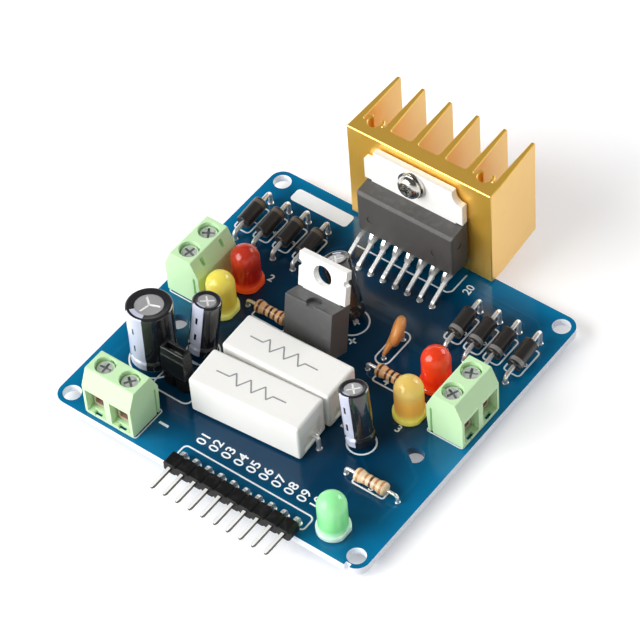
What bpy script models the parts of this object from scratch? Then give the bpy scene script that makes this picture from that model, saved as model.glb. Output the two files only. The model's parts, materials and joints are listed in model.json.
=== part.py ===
"""DC motor driver module: a blue circuit board with a finned heatsink, a power chip and screw terminals.

The layout is written in millimetres in the board's own frame. X runs along the pin header's edge, Y runs
inward to the heatsink, and Z is up from the board's top face. The origin of that frame is the centre of the
mounting hole nearest the left front corner. Every mesh is turned into metres when it is made, and an empty
carries the whole board so that the model stands with the bottom centre of its box at the world origin.
"""

import bpy
import bmesh
import math
from mathutils import Euler, Matrix, Vector

MM = 0.001
GAP = 0.3

# Circuit board
BOARD_T = 1.6
HOLE_PITCH_X = 58.1
HOLE_PITCH_Y = 56.8
BOARD_EDGE = 2.45
BOARD_CORNER_R = 2.45
MOUNT_HOLE_R = 1.6
MIDDLE = HOLE_PITCH_X / 2
SPARE_HOLES = ((HOLE_PITCH_X - 4.2, 21.3), (4.9, 21.8))
NOTCH_X = HOLE_PITCH_X - 0.2
NOTCH_W = 1.0
NOTCH_D = 0.7

# Every lead ends in a blind hole of the board. Under it stands a solder joint with the clipped lead end
LEAD_END = -1.0
HOLE_FLOOR = LEAD_END - GAP
SOLDER_R = 0.95
SOLDER_TIP_R = 0.35
SOLDER_ROOT = 0.2
TIP_DROP = 1.5

# Heatsink
SINK_X = MIDDLE - 0.25
SINK_W = 29.2
SINK_FRONT = HOLE_PITCH_Y + 1.1
SINK_DEPTH = 14.1
SINK_BASE = 3.0
SINK_BOTTOM = 0.5
SINK_TOP = 21.4
FIN_COUNT = 6
FIN_ROOT = 1.4
FIN_TIP = 0.8
FIN_LEAN = 0.5
VALLEY_R = 0.45
CHANNEL_R = 1.15
CHANNEL_WALL = 0.65
CHANNEL_RISE = 0.25
CHANNEL_MOUTH = 40
CHANNEL_VALLEYS = (0, 4)

# Driver chip, screwed to the heatsink
CHIP_X = MIDDLE
CHIP_W = 19.6
CHIP_DEPTH = 4.8
CHIP_BOTTOM = 3.3
CHIP_TOP = 13.0
CHIP_EDGE = 0.4
CHIP_TAB_X = CHIP_X - 0.25
CHIP_TAB_W = 20.0
CHIP_TAB_T = 1.3
CHIP_TAB_TOP = 20.0
CHIP_TAB_FOOT = 4.4
CHIP_CHEEK = 0.9
CHIP_EAR_Z = 17.5
CHIP_BITE_W = 2.0
CHIP_HOLE_R = 1.85
CHIP_HOLE_Z = 17.3
CHIP_LEADS = 15
CHIP_LEAD_PITCH = 1.27
CHIP_LEAD_W = 0.7
CHIP_LEAD_T = 0.5
CHIP_LEAD_PLANE = 2.65
CHIP_ROW_BACK = 4.55
CHIP_ROW_STEP = 5.08
SCREW_R = 1.5
SCREW_HEAD_R = 2.25
SCREW_HEAD_H = 1.9
WASHER_R = 2.6
WASHER_T = 0.5
SCREW_REACH = 6.4

# Voltage regulator, leaning back on its own leads
REG_FOOT = (MIDDLE - 1.05, 26.9, 3.0)
REG_LEAN = math.radians(-16.5)
REG_ROLL = math.radians(-6.6)
REG_YAW = math.radians(-2.7)
REG_W = 10.1
REG_D = 4.5
REG_H = 9.1
REG_TAB_T = 1.3
REG_TAB_TOP = 15.7
REG_HOLE_R = 1.9
REG_HOLE_Z = 12.9
REG_PITCH = 2.54
REG_LEAD_Y = 1.9
REG_LEAD_R = 0.42
REG_ROW_Y = 27.9

# Pin header, right-angled, ten pins
PIN_COUNT = 10
PITCH = 2.54
PIN_SIZE = 0.64
HEADER_X0 = 23.95
HEADER_ROW_Y = -0.1
STRIP_FRONT = -4.05
STRIP_SIZE = 2.5
STRIP_NOTCH = 0.45
PIN_TIP_Y = -8.75
PIN_Z = 1.55

# Jumper on a two-pin post
JUMPER_X = 13.5
JUMPER_Y = 11.45
JUMPER_BASE_H = 2.5
JUMPER_W = 4.8
JUMPER_D = 2.4
JUMPER_H = 5.9
JUMPER_SLOT_W = 3.8
JUMPER_SLOT_D = 1.3

# Screw terminal blocks, two ways each
BLOCK_D = 7.2
BLOCK_H = 10.1
BLOCK_PITCH = 5.08
BLOCK_W = 2 * BLOCK_PITCH
CHAMBER_W = 4.2
CHAMBER_FLOOR = 1.0
CHAMBER_TOP = 7.6
CHAMBER_FRONT = 0.9
CHAMBER_BACK = 5.9
ENTRY_W = 3.9
ENTRY_FLOOR = 0.9
ENTRY_TOP = 6.1
WELL_R = 1.8
WELL_FLOOR = 8.35
SCREW_V = 3.6
CLAMP_SCREW_R = 1.2
CLAMP_HEAD_R = 1.5
CLAMP_HEAD_TOP = 9.45
SLIT_W = 0.7
SLIT_V = 5.7
SLIT_Z = (7.8, 9.4)
GROOVE_W = 0.45
GROOVE_D = 0.35
GROOVE_V = 5.95
CAGE_V0 = 1.5
CAGE_V1 = 4.6
CAGE_H = 4.2
CAGE_PLATE = 0.6
CAGE_SIDE = 0.5
STRIP_T = 0.6
LEG_W = 1.0
CAGE_Z = CHAMBER_FLOOR + GAP
CONTACT_Z = CAGE_Z + CAGE_H - CAGE_PLATE - GAP - STRIP_T
BLOCK_ROW_Y = 31.5
BLOCKS = (
    ("front", (9.55, -1.85), 0.0),
    ("left", (-0.95, BLOCK_ROW_Y), -90.0),
    ("right", (HOLE_PITCH_X + 1.65, BLOCK_ROW_Y), 90.0),
)

# Diodes: column centres, and the two rows of holes that every diode spans
DIODE_SPAN = 10.0
DIODE_FAR_Y = HOLE_PITCH_Y - 5.0
DIODE_NEAR_Y = DIODE_FAR_Y - DIODE_SPAN
DIODE_R = 1.35
DIODE_L = 5.3
DIODE_LEAD_R = 0.4
DIODES = (
    (1.3, 1.75, 2.3),
    (5.3, 1.75, 2.3),
    (9.45, 1.8, 2.5),
    (13.7, 1.75, 2.3),
    (HOLE_PITCH_X - 12.9, 1.75, 2.7),
    (HOLE_PITCH_X - 8.95, 1.75, 2.7),
    (HOLE_PITCH_X - 5.05, 1.75, 2.7),
    (HOLE_PITCH_X - 0.85, 1.75, 2.7),
)

# Axial resistors along X: centre and the distance between their holes
AXIAL_SPAN = 4 * PITCH
AXIALS = (
    ("rear", (17.4, 31.2)),
    ("middle", (HOLE_PITCH_X - 15.95, 31.4)),
    ("front", (HOLE_PITCH_X - 6.0, 12.15)),
)
AXIAL_L = 6.5
AXIAL_R = 1.2
AXIAL_WAIST_R = 0.98
AXIAL_LEAD_R = 0.3

# Light-emitting diodes: name, place and colour
LED_R = 2.5
LED_FLANGE_R = 2.9
LED_FLANGE_H = 1.0
LED_H = 8.6
LED_PIN = PITCH / 2
LED_LEAD_R = 0.35
LEDS = (
    ("red_left", (9.3, 35.1), (0.75, 0.05, 0.03)),
    ("yellow_left", (9.45, 28.15), (0.85, 0.75, 0.08)),
    ("red_right", (HOLE_PITCH_X - 9.75, 35.15), (0.85, 0.06, 0.03)),
    ("amber_right", (HOLE_PITCH_X - 9.75, 27.65), (0.9, 0.6, 0.08)),
    ("green_front", (HOLE_PITCH_X - 6.0, 2.05), (0.3, 0.8, 0.35)),
)

# Electrolytic capacitors: name, radius, height, place of the foot and offset of the top from it
CAN_LEAD_R = 0.3
CANS = (
    ("main", 4.0, 12.0, (6.7, 13.5), (-0.5, 0.8), 1.75),
    ("rear_left", 2.5, 11.0, (12.4, 19.0), (0.5, 2.0), 1.0),
    ("front_right", 2.5, 11.0, (HOLE_PITCH_X - 12.8, 18.4), (-1.8, 1.2), 1.0),
    ("centre", 2.5, 11.0, (28.4, 38.6), (-3.8, 1.5), 1.0),
)

# Ceramic disc capacitor, its disc in the plane of Y and Z
DISC_PLACE = (38.3, 38.3, 3.7)
DISC_R = 2.7
DISC_T = 2.1
DISC_AXIS = (0.896, 0.362, -0.26)
DISC_HOLES = ((37.9, 34.7), (38.2, 39.75))
DISC_LEAD_R = 0.3

# Wire-wound resistors in white ceramic cases: name, centre and turn about Z
CERAMICS = (("front", (MIDDLE - 0.2, 12.8), 4.4), ("rear", (MIDDLE - 0.1, 21.3), 1.8))
CERAMIC_L = 21.2
CERAMIC_W = 7.7
CERAMIC_TOP = 8.1
CERAMIC_EDGE = 0.7
CERAMIC_LEAD_R = 0.4
CERAMIC_LEAD_Z = 3.0
CERAMIC_REACH = 1.0

# The box that the model stands in, from which the board's place follows
BACK_Y = SINK_FRONT + SINK_DEPTH
BOARD_LIFT = TIP_DROP + BOARD_T
BOARD_PLACE = (-HOLE_PITCH_X / 2, -(PIN_TIP_Y + BACK_Y) / 2, BOARD_LIFT)

drilled = []


def clear_scene():
    for item in list(bpy.data.objects):
        bpy.data.objects.remove(item, do_unlink=True)


def make_material(name, colour, roughness, metallic=0.0):
    material = bpy.data.materials.new(name)
    material.use_nodes = True
    shader = material.node_tree.nodes["Principled BSDF"]
    shader.inputs["Base Color"].default_value = (*colour, 1.0)
    shader.inputs["Roughness"].default_value = roughness
    shader.inputs["Metallic"].default_value = metallic
    return material


def link(name, mesh, material, place=(0, 0, 0), turn=(0, 0, 0), helper=False):
    """Puts a mesh in the scene as a child of the board's empty. A helper only cuts or joins."""
    thing = bpy.data.objects.new(name, mesh)
    bpy.context.scene.collection.objects.link(thing)
    thing.parent = bpy.data.objects["board_frame"]
    thing.location = Vector(place) * MM
    thing.rotation_euler = turn
    if material and not mesh.materials:
        mesh.materials.append(material)
    if helper:
        thing.hide_render = True
        thing.display_type = "WIRE"
    return thing


def to_mesh(name, bm, smooth=False):
    """Turns a bmesh in millimetres into a mesh in metres with its faces pointing out."""
    bmesh.ops.recalc_face_normals(bm, faces=bm.faces)
    mesh = bpy.data.meshes.new(name)
    bm.to_mesh(mesh)
    bm.free()
    mesh.transform(Matrix.Scale(MM, 4))
    if smooth:
        mesh.shade_smooth()
        mesh.set_sharp_from_angle(angle=math.radians(40))
    return mesh


def combine(target, tool, operation):
    """Cuts the tool from the target, or joins it on, with an exact Boolean."""
    modifier = target.modifiers.new(operation.lower(), "BOOLEAN")
    modifier.operation = operation
    modifier.solver = "EXACT"
    modifier.object = tool


def baked(thing, name):
    """The mesh of an object with its modifiers applied, for copies to share."""
    graph = bpy.context.evaluated_depsgraph_get()
    mesh = bpy.data.meshes.new_from_object(thing.evaluated_get(graph))
    mesh.name = name
    return mesh


def add_box(bm, low, high):
    size = Vector(high) - Vector(low)
    middle = (Vector(high) + Vector(low)) / 2
    matrix = Matrix.Translation(middle) @ Matrix.Diagonal((*size, 1.0))
    return bmesh.ops.create_cube(bm, size=1.0, matrix=matrix)["verts"]


def add_cylinder(bm, radius, low, high, centre=(0, 0), sides=16, axis="Z"):
    """A closed cylinder along an axis, from low to high on it. Centre is on the other two axes in order."""
    turn = {"Z": Matrix(), "Y": Matrix.Rotation(math.pi / 2, 4, "X"), "X": Matrix.Rotation(math.pi / 2, 4, "Y")}[axis]
    middle = (low + high) / 2
    place = {
        "Z": (centre[0], centre[1], middle),
        "Y": (centre[0], middle, centre[1]),
        "X": (middle, centre[0], centre[1]),
    }[axis]
    bmesh.ops.create_cone(
        bm,
        cap_ends=True,
        segments=sides,
        radius1=radius,
        radius2=radius,
        depth=abs(high - low),
        matrix=Matrix.Translation(place) @ turn,
    )


def add_prism(bm, outline, low, high, axis="Z"):
    """Extrudes a flat outline along an axis. The outline's points are on the other two axes in order."""
    order = {"Z": (0, 1, 2), "Y": (0, 2, 1), "X": (1, 2, 0)}[axis]
    corners = []
    for point in outline:
        place = [0.0, 0.0, 0.0]
        place[order[0]] = point[0]
        place[order[1]] = point[1]
        place[order[2]] = low
        corners.append(bm.verts.new(place))
    face = bm.faces.new(corners)
    grown = bmesh.ops.extrude_face_region(bm, geom=[face])["geom"]
    step = Vector((0, 0, 0))
    step[order[2]] = high - low
    bmesh.ops.translate(bm, vec=step, verts=[item for item in grown if isinstance(item, bmesh.types.BMVert)])


def add_sweep(bm, stations, sides):
    """A closed tube through stations of point and radius. The rings turn with the path and never twist."""
    points = [Vector(point) for point, radius in stations]
    side = Vector((1, 0, 0)) if abs((points[-1] - points[0]).normalized().x) < 0.7 else Vector((0, 1, 0))
    rings = []
    for index, (point, radius) in enumerate(stations):
        before = points[index] - points[index - 1] if index else points[1] - points[0]
        after = points[index + 1] - points[index] if index + 1 < len(points) else before
        if before.length < 1e-6:
            before = after
        if after.length < 1e-6:
            after = before
        along = (before.normalized() + after.normalized()).normalized()
        across = (side - along * side.dot(along)).normalized()
        up = along.cross(across)
        ring = []
        for step in range(sides):
            angle = math.tau * (step + 0.5) / sides
            ring.append(bm.verts.new(Vector(point) + radius * (math.cos(angle) * across + math.sin(angle) * up)))
        rings.append(ring)
    for first, second in zip(rings, rings[1:]):
        for step in range(sides):
            following = (step + 1) % sides
            bm.faces.new((first[step], first[following], second[following], second[step]))
    bm.faces.new(list(reversed(rings[0])))
    bm.faces.new(rings[-1])


def add_lathe(bm, profile, sides, place=(0, 0, 0), axis="Z"):
    """A closed turned shape from a profile of radius and height, capped flat at both ends."""
    rings = []
    for radius, height in profile:
        ring = []
        for step in range(sides):
            angle = math.tau * (step + 0.5) / sides
            across = (radius * math.cos(angle), radius * math.sin(angle))
            local = (*across, height) if axis == "Z" else (height, *across)
            ring.append(bm.verts.new(Vector(local) + Vector(place)))
        rings.append(ring)
    for first, second in zip(rings, rings[1:]):
        for step in range(sides):
            following = (step + 1) % sides
            bm.faces.new((first[step], first[following], second[following], second[step]))
    bm.faces.new(list(reversed(rings[0])))
    bm.faces.new(rings[-1])


def drill(x, y, radius):
    """Notes a lead's place, for its hole in the board and the solder joint under it."""
    drilled.append((x, y, radius))


def arc(centre, radius, start, end, steps):
    """Points along an arc, in degrees, ends included."""
    points = []
    for step in range(steps + 1):
        angle = math.radians(start + (end - start) * step / steps)
        points.append((centre[0] + radius * math.cos(angle), centre[1] + radius * math.sin(angle)))
    return points


def make_heatsink(material):
    """An extruded sink: a base plate, fins that taper and lean a little, and two open screw channels."""
    left = SINK_X - SINK_W / 2
    base = SINK_FRONT + SINK_BASE
    back = SINK_FRONT + SINK_DEPTH
    pitch = (SINK_W - FIN_ROOT) / (FIN_COUNT - 1)
    outline = [(left, SINK_FRONT)]
    for index in range(FIN_COUNT):
        start = left + pitch * index
        middle = start + FIN_ROOT / 2 - (FIN_LEAN if index else 0)
        if index:
            outline += arc((start - VALLEY_R, base + VALLEY_R), VALLEY_R, 270, 360, 2)
        outline.append((max(middle - FIN_TIP / 2, left), back))
        outline.append((max(middle - FIN_TIP / 2, left) + FIN_TIP, back))
        if index == FIN_COUNT - 1:
            continue
        outline += arc((start + FIN_ROOT + VALLEY_R, base + VALLEY_R), VALLEY_R, 180, 270, 2)
        if index in CHANNEL_VALLEYS:
            centre = (start + (pitch + FIN_ROOT) / 2, base + CHANNEL_RISE)
            outer = CHANNEL_R + CHANNEL_WALL
            foot = math.degrees(math.asin(CHANNEL_RISE / outer))
            outline += arc(centre, outer, 180 + foot, 90 + CHANNEL_MOUTH, 4)
            outline += arc(centre, CHANNEL_R, 90 + CHANNEL_MOUTH, 450 - CHANNEL_MOUTH, 11)
            outline += arc(centre, outer, 90 - CHANNEL_MOUTH, -foot, 4)
    outline.append((left + SINK_W, base))
    outline.append((left + SINK_W, SINK_FRONT))
    bm = bmesh.new()
    add_prism(bm, outline, SINK_BOTTOM, SINK_TOP)
    sink = link("heatsink", to_mesh("heatsink", bm), material)
    bm = bmesh.new()
    add_cylinder(bm, SCREW_R + GAP, SINK_FRONT - 1, base + 1, (CHIP_TAB_X, CHIP_HOLE_Z), 12, "Y")
    combine(sink, link("heatsink_bore", to_mesh("heatsink_bore", bm), None, helper=True), "DIFFERENCE")


def make_chip(black, tin):
    """A power package: a moulded body, a bitten tab behind it and fifteen leads in two rows."""
    tab_back = SINK_FRONT - GAP
    tab_front = tab_back - CHIP_TAB_T
    front = SINK_FRONT - CHIP_DEPTH
    half = CHIP_W / 2
    pocket = half - CHIP_CHEEK
    bm = bmesh.new()
    profile = [
        (front, CHIP_BOTTOM + 0.3),
        (tab_back - 1.6, CHIP_BOTTOM),
        (tab_back, CHIP_BOTTOM + 0.1),
        (tab_back, CHIP_TOP),
        (front + 0.5, CHIP_TOP - 0.4),
        (front, CHIP_TOP - 1.0),
    ]
    add_prism(bm, profile, CHIP_X - half, CHIP_X + half, "X")
    fronts = [edge for edge in bm.edges if all(abs(vert.co.y - front) < 0.01 for vert in edge.verts)]
    fronts = [edge for edge in fronts if abs(edge.verts[0].co.z - edge.verts[1].co.z) > 1]
    bmesh.ops.bevel(bm, geom=fronts, offset=CHIP_EDGE, segments=1, affect="EDGES", profile=0.5)
    body = link("driver_chip_body", to_mesh("driver_chip_body", bm), black)
    bm = bmesh.new()
    low = (CHIP_TAB_X - pocket, tab_front - GAP, CHIP_TAB_FOOT - GAP)
    add_box(bm, low, (CHIP_TAB_X + pocket, tab_back + 1, CHIP_TOP + 1))
    combine(body, link("driver_chip_pocket", to_mesh("driver_chip_pocket", bm), None, helper=True), "DIFFERENCE")

    foot_half = pocket - GAP
    ear_half = CHIP_TAB_W / 2
    neck_half = ear_half - CHIP_BITE_W
    rise = CHIP_TAB_TOP - CHIP_EAR_Z
    right = [(foot_half, CHIP_TAB_FOOT), (foot_half, CHIP_TOP + GAP), (ear_half, CHIP_TOP + GAP)]
    right.append((ear_half, CHIP_EAR_Z))
    for step in range(1, 6):
        angle = math.radians(18 * step)
        x = ear_half - 0.3 - (CHIP_BITE_W - 0.3) * math.sin(angle)
        right.append((x, CHIP_EAR_Z + rise * 0.75 * (1 - math.cos(angle))))
    right.append((neck_half, CHIP_TAB_TOP))
    outline = right + [(-x, z) for x, z in reversed(right)]
    bm = bmesh.new()
    add_prism(bm, [(CHIP_TAB_X + x, z) for x, z in outline], tab_front, tab_back, "Y")
    tab = link("driver_chip_tab", to_mesh("driver_chip_tab", bm), tin)
    bm = bmesh.new()
    add_cylinder(bm, CHIP_HOLE_R, tab_front - 1, tab_back + 1, (CHIP_TAB_X, CHIP_HOLE_Z), 16, "Y")
    combine(tab, link("driver_chip_bore", to_mesh("driver_chip_bore", bm), None, helper=True), "DIFFERENCE")

    bm = bmesh.new()
    plane = SINK_FRONT - CHIP_LEAD_PLANE
    upper = CHIP_BOTTOM - GAP
    lower = upper - CHIP_LEAD_T
    inside = CHIP_BOTTOM + 0.6
    for index in range(CHIP_LEADS):
        x = CHIP_X + (index - (CHIP_LEADS - 1) / 2) * CHIP_LEAD_PITCH
        front_row = index % 2 == 0
        row = SINK_FRONT - CHIP_ROW_BACK - (CHIP_ROW_STEP if front_row else 0)
        shoulder = row + (4.1 if front_row else 1.2)
        knee = 0.5 if front_row else 1.4
        half_t = CHIP_LEAD_T / 2
        outline = [
            (row - half_t, LEAD_END),
            (row + half_t, LEAD_END),
            (row + half_t, knee),
            (shoulder + half_t, lower),
            (plane + half_t, lower),
            (plane + half_t, inside),
            (plane - half_t, inside),
            (plane - half_t, upper),
            (shoulder, upper),
            (row - half_t, knee + half_t),
        ]
        add_prism(bm, outline, x - CHIP_LEAD_W / 2, x + CHIP_LEAD_W / 2, "X")
        drill(x, row, math.hypot(CHIP_LEAD_W, CHIP_LEAD_T) / 2)
    tool = link("driver_chip_leads", to_mesh("driver_chip_leads", bm), None, helper=True)
    combine(body, tool, "UNION")


def make_heatsink_screw(material):
    """A pan-head machine screw through the chip's tab into the heatsink, with a cross recess."""
    seat = SINK_FRONT - GAP - CHIP_TAB_T - GAP
    place = (CHIP_TAB_X, seat, CHIP_HOLE_Z)
    head = [
        (SCREW_R, -SCREW_REACH),
        (SCREW_R, 0.0),
        (WASHER_R, 0.0),
        (WASHER_R, WASHER_T),
        (SCREW_HEAD_R, WASHER_T),
        (SCREW_HEAD_R, SCREW_HEAD_H * 0.6),
        (SCREW_HEAD_R * 0.84, SCREW_HEAD_H * 0.88),
        (SCREW_HEAD_R * 0.5, SCREW_HEAD_H),
    ]
    bm = bmesh.new()
    add_lathe(bm, head, 14)
    turn = (math.pi / 2, 0, 0)
    screw = link("heatsink_screw", to_mesh("heatsink_screw", bm, smooth=True), material, place, turn)
    bm = bmesh.new()
    add_cross(bm, SCREW_HEAD_R * 1.15, 0.6, SCREW_HEAD_H - 1.0, SCREW_HEAD_H + 1.0)
    tool = link("heatsink_screw_recess", to_mesh("heatsink_screw_recess", bm), None, place, turn, helper=True)
    combine(screw, tool, "DIFFERENCE")


def add_cross(bm, length, width, low, high):
    """A plus-shaped cutter for a driver recess."""
    half = length / 2
    arm = width / 2
    outline = [
        (-half, -arm),
        (-arm, -arm),
        (-arm, -half),
        (arm, -half),
        (arm, -arm),
        (half, -arm),
        (half, arm),
        (arm, arm),
        (arm, half),
        (-arm, half),
        (-arm, arm),
        (-half, arm),
    ]
    add_prism(bm, outline, low, high)


def make_regulator(black, tin):
    """A three-lead package on bent leads, leaning back and a little to the left."""
    turn = Euler((REG_LEAN, REG_ROLL, REG_YAW))
    half = REG_W / 2
    tab_back = REG_D
    tab_front = REG_D - REG_TAB_T
    cheek = 0.75
    foot = 1.1
    bm = bmesh.new()
    profile = [(0.25, 0), (REG_D, 0), (REG_D, REG_H), (0.45, REG_H), (0, REG_H - 0.15), (0, 0.6)]
    add_prism(bm, profile, -half, half, "X")
    body = link("regulator_body", to_mesh("regulator_body", bm), black, REG_FOOT, turn)
    bm = bmesh.new()
    add_box(bm, (-half + cheek, tab_front - GAP, foot - GAP), (half - cheek, tab_back + 1, REG_H + 1))
    add_cylinder(bm, 1.35, REG_H - 0.6, REG_H + 0.5, (0.3, 1.15), 12)
    tool = link("regulator_pocket", to_mesh("regulator_pocket", bm), None, REG_FOOT, turn, helper=True)
    combine(body, tool, "DIFFERENCE")

    foot_half = half - cheek - GAP
    shoulder = REG_H + GAP
    nick = REG_TAB_TOP - 2.9
    right = [
        (foot_half, foot),
        (foot_half, shoulder),
        (half, shoulder),
        (half, nick),
        (half - 0.55, nick + 0.2),
        (half - 0.55, nick + 1.0),
        (half, nick + 1.2),
        (half, REG_TAB_TOP),
    ]
    outline = right + [(-x, z) for x, z in reversed(right)]
    bm = bmesh.new()
    add_prism(bm, outline, tab_front, tab_back, "Y")
    tab = link("regulator_tab", to_mesh("regulator_tab", bm), tin, REG_FOOT, turn)
    bm = bmesh.new()
    add_cylinder(bm, REG_HOLE_R, tab_front - 1, tab_back + 1, (0, REG_HOLE_Z), 16, "Y")
    tool = link("regulator_bore", to_mesh("regulator_bore", bm), None, REG_FOOT, turn, helper=True)
    combine(tab, tool, "DIFFERENCE")

    bm = bmesh.new()
    frame = Matrix.Translation(REG_FOOT) @ turn.to_matrix().to_4x4()
    for column in (-1, 0, 1):
        top = frame @ Vector((column * REG_PITCH, REG_LEAD_Y, 0.8))
        under = frame @ Vector((column * REG_PITCH, REG_LEAD_Y, -1.3))
        x = REG_FOOT[0] + 0.35 + column * REG_PITCH
        stations = [(top, REG_LEAD_R), (under, REG_LEAD_R)]
        stations += [((x, REG_ROW_Y, 0.8), REG_LEAD_R), ((x, REG_ROW_Y, LEAD_END), REG_LEAD_R)]
        add_sweep(bm, stations, 4)
        drill(x, REG_ROW_Y, REG_LEAD_R)
    tool = link("regulator_leads", to_mesh("regulator_leads", bm), None, helper=True)
    combine(body, tool, "UNION")


def make_header(plastic):
    """A ten-way strip lying at the board's edge, with pins that bend down through the board."""
    left = HEADER_X0 - PITCH / 2
    top = PIN_Z + STRIP_SIZE / 2
    bottom = PIN_Z - STRIP_SIZE / 2
    upper = []
    lower = []
    for index in range(PIN_COUNT):
        start = left + PITCH * index
        end = start + PITCH
        upper += [(start, top - STRIP_NOTCH), (start + STRIP_NOTCH, top), (end - STRIP_NOTCH, top)]
        lower += [(start, bottom + STRIP_NOTCH), (start + STRIP_NOTCH, bottom), (end - STRIP_NOTCH, bottom)]
    right = left + PITCH * PIN_COUNT
    outline = upper + [(right, top - STRIP_NOTCH), (right, bottom + STRIP_NOTCH)] + list(reversed(lower))
    bm = bmesh.new()
    add_prism(bm, outline, STRIP_FRONT, STRIP_FRONT + STRIP_SIZE, "Y")
    strip = link("pin_header", to_mesh("pin_header", bm), plastic)
    pins = bmesh.new()
    half = PIN_SIZE / 2
    for index in range(PIN_COUNT):
        x = HEADER_X0 + PITCH * index
        outline = [
            (PIN_TIP_Y, PIN_Z - half * 0.6),
            (PIN_TIP_Y + 0.5, PIN_Z - half),
            (HEADER_ROW_Y - half, PIN_Z - half),
            (HEADER_ROW_Y - half, LEAD_END),
            (HEADER_ROW_Y + half, LEAD_END),
            (HEADER_ROW_Y + half, PIN_Z),
            (HEADER_ROW_Y, PIN_Z + half),
            (PIN_TIP_Y + 0.5, PIN_Z + half),
            (PIN_TIP_Y, PIN_Z + half * 0.6),
        ]
        add_prism(pins, outline, x - half, x + half, "X")
        drill(x, HEADER_ROW_Y, half * math.sqrt(2))
    tool = link("pin_header_pins", to_mesh("pin_header_pins", pins), None, helper=True)
    combine(strip, tool, "UNION")


def make_jumper(plastic):
    """A two-pin post with a slotted jumper cap pushed down on it."""
    base_half = PITCH
    base_deep = STRIP_SIZE / 2
    half = PIN_SIZE / 2
    base_top = GAP + JUMPER_BASE_H
    cap_low = base_top + GAP
    cap_high = cap_low + JUMPER_H
    cut = STRIP_NOTCH
    outline = [(-base_half, -base_deep + cut), (-base_half + cut, -base_deep), (-cut, -base_deep)]
    outline += [(0, -base_deep + cut), (cut, -base_deep), (base_half - cut, -base_deep)]
    outline += [(base_half, -base_deep + cut)]
    outline += [(-x, -y) for x, y in outline]
    place = (JUMPER_X, JUMPER_Y, 0)
    bm = bmesh.new()
    add_prism(bm, outline, GAP, base_top)
    base = link("jumper_post", to_mesh("jumper_post", bm), plastic, place)
    pins = bmesh.new()
    for side in (-1, 1):
        x = side * PITCH / 2
        stations = [((x, 0, LEAD_END), half * math.sqrt(2)), ((x, 0, cap_high - 1.5), half * math.sqrt(2))]
        add_sweep(pins, stations, 4)
        drill(JUMPER_X + x, JUMPER_Y, half * math.sqrt(2))
    tool = link("jumper_post_pins", to_mesh("jumper_post_pins", pins), None, place, helper=True)
    combine(base, tool, "UNION")
    bm = bmesh.new()
    add_box(bm, (-JUMPER_W / 2, -JUMPER_D / 2, cap_low), (JUMPER_W / 2, JUMPER_D / 2, cap_high))
    cap = link("jumper_cap", to_mesh("jumper_cap", bm), plastic, place)
    bm = bmesh.new()
    wide = JUMPER_SLOT_W / 2
    deep = JUMPER_SLOT_D / 2
    add_box(bm, (-wide, -deep, cap_low - 1), (wide, deep, cap_high + 1))
    tool = link("jumper_cap_slot", to_mesh("jumper_cap_slot", bm), None, place, helper=True)
    combine(cap, tool, "DIFFERENCE")


def block_housing(material):
    """The moulded housing of a two-way block, its front face in the plane Y = 0."""
    half = BLOCK_W / 2
    profile = [
        (0.0, GAP),
        (0.0, 6.9),
        (1.4, BLOCK_H),
        (5.7, BLOCK_H),
        (BLOCK_D, 6.6),
        (BLOCK_D - 0.1, 3.0),
        (BLOCK_D - 0.35, GAP),
    ]
    bm = bmesh.new()
    add_prism(bm, profile, -half, half, "X")
    body = link("block_pattern", to_mesh("block_pattern", bm), material, helper=True)
    chambers = bmesh.new()
    openings = bmesh.new()
    nicks = bmesh.new()
    wide = CHAMBER_W / 2
    mouth = ENTRY_W / 2
    slit = SLIT_W / 2
    leg = LEG_W / 2 + GAP
    leg_front = CHAMBER_BACK - GAP * 2 - STRIP_T
    for side in (-1, 1):
        u = side * BLOCK_PITCH / 2
        add_box(chambers, (u - wide, CHAMBER_FRONT, CHAMBER_FLOOR), (u + wide, CHAMBER_BACK, CHAMBER_TOP))
        add_cylinder(chambers, WELL_R, WELL_FLOOR, BLOCK_H + 1, (u, SCREW_V), 16)
        add_box(chambers, (u - slit, SLIT_V, SLIT_Z[0]), (u + slit, BLOCK_D + 1, SLIT_Z[1]))
        add_box(openings, (u - mouth, -1, ENTRY_FLOOR), (u + mouth, CHAMBER_FRONT + 0.1, ENTRY_TOP))
        add_cylinder(openings, CLAMP_SCREW_R + GAP, CHAMBER_TOP - 0.1, WELL_FLOOR + 0.1, (u, SCREW_V), 12)
        add_box(openings, (u - leg, leg_front, -1), (u + leg, CHAMBER_BACK + 0.1, CHAMBER_FLOOR + 0.1))
        edge = side * half
        low, high = sorted((edge - side * GROOVE_D, edge + side))
        add_box(openings, (low, GROOVE_V, -1), (high, GROOVE_V + GROOVE_W, ENTRY_TOP + 0.4))
        add_box(nicks, (u - 0.5, -1, -1), (u - 0.3, 0.7, ENTRY_FLOOR + 0.1))
    combine(body, link("block_chambers", to_mesh("block_chambers", chambers), None, helper=True), "DIFFERENCE")
    combine(body, link("block_openings", to_mesh("block_openings", openings), None, helper=True), "DIFFERENCE")
    combine(body, link("block_nicks", to_mesh("block_nicks", nicks), None, helper=True), "DIFFERENCE")
    bpy.context.view_layer.update()
    return baked(body, "block_housing")


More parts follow.
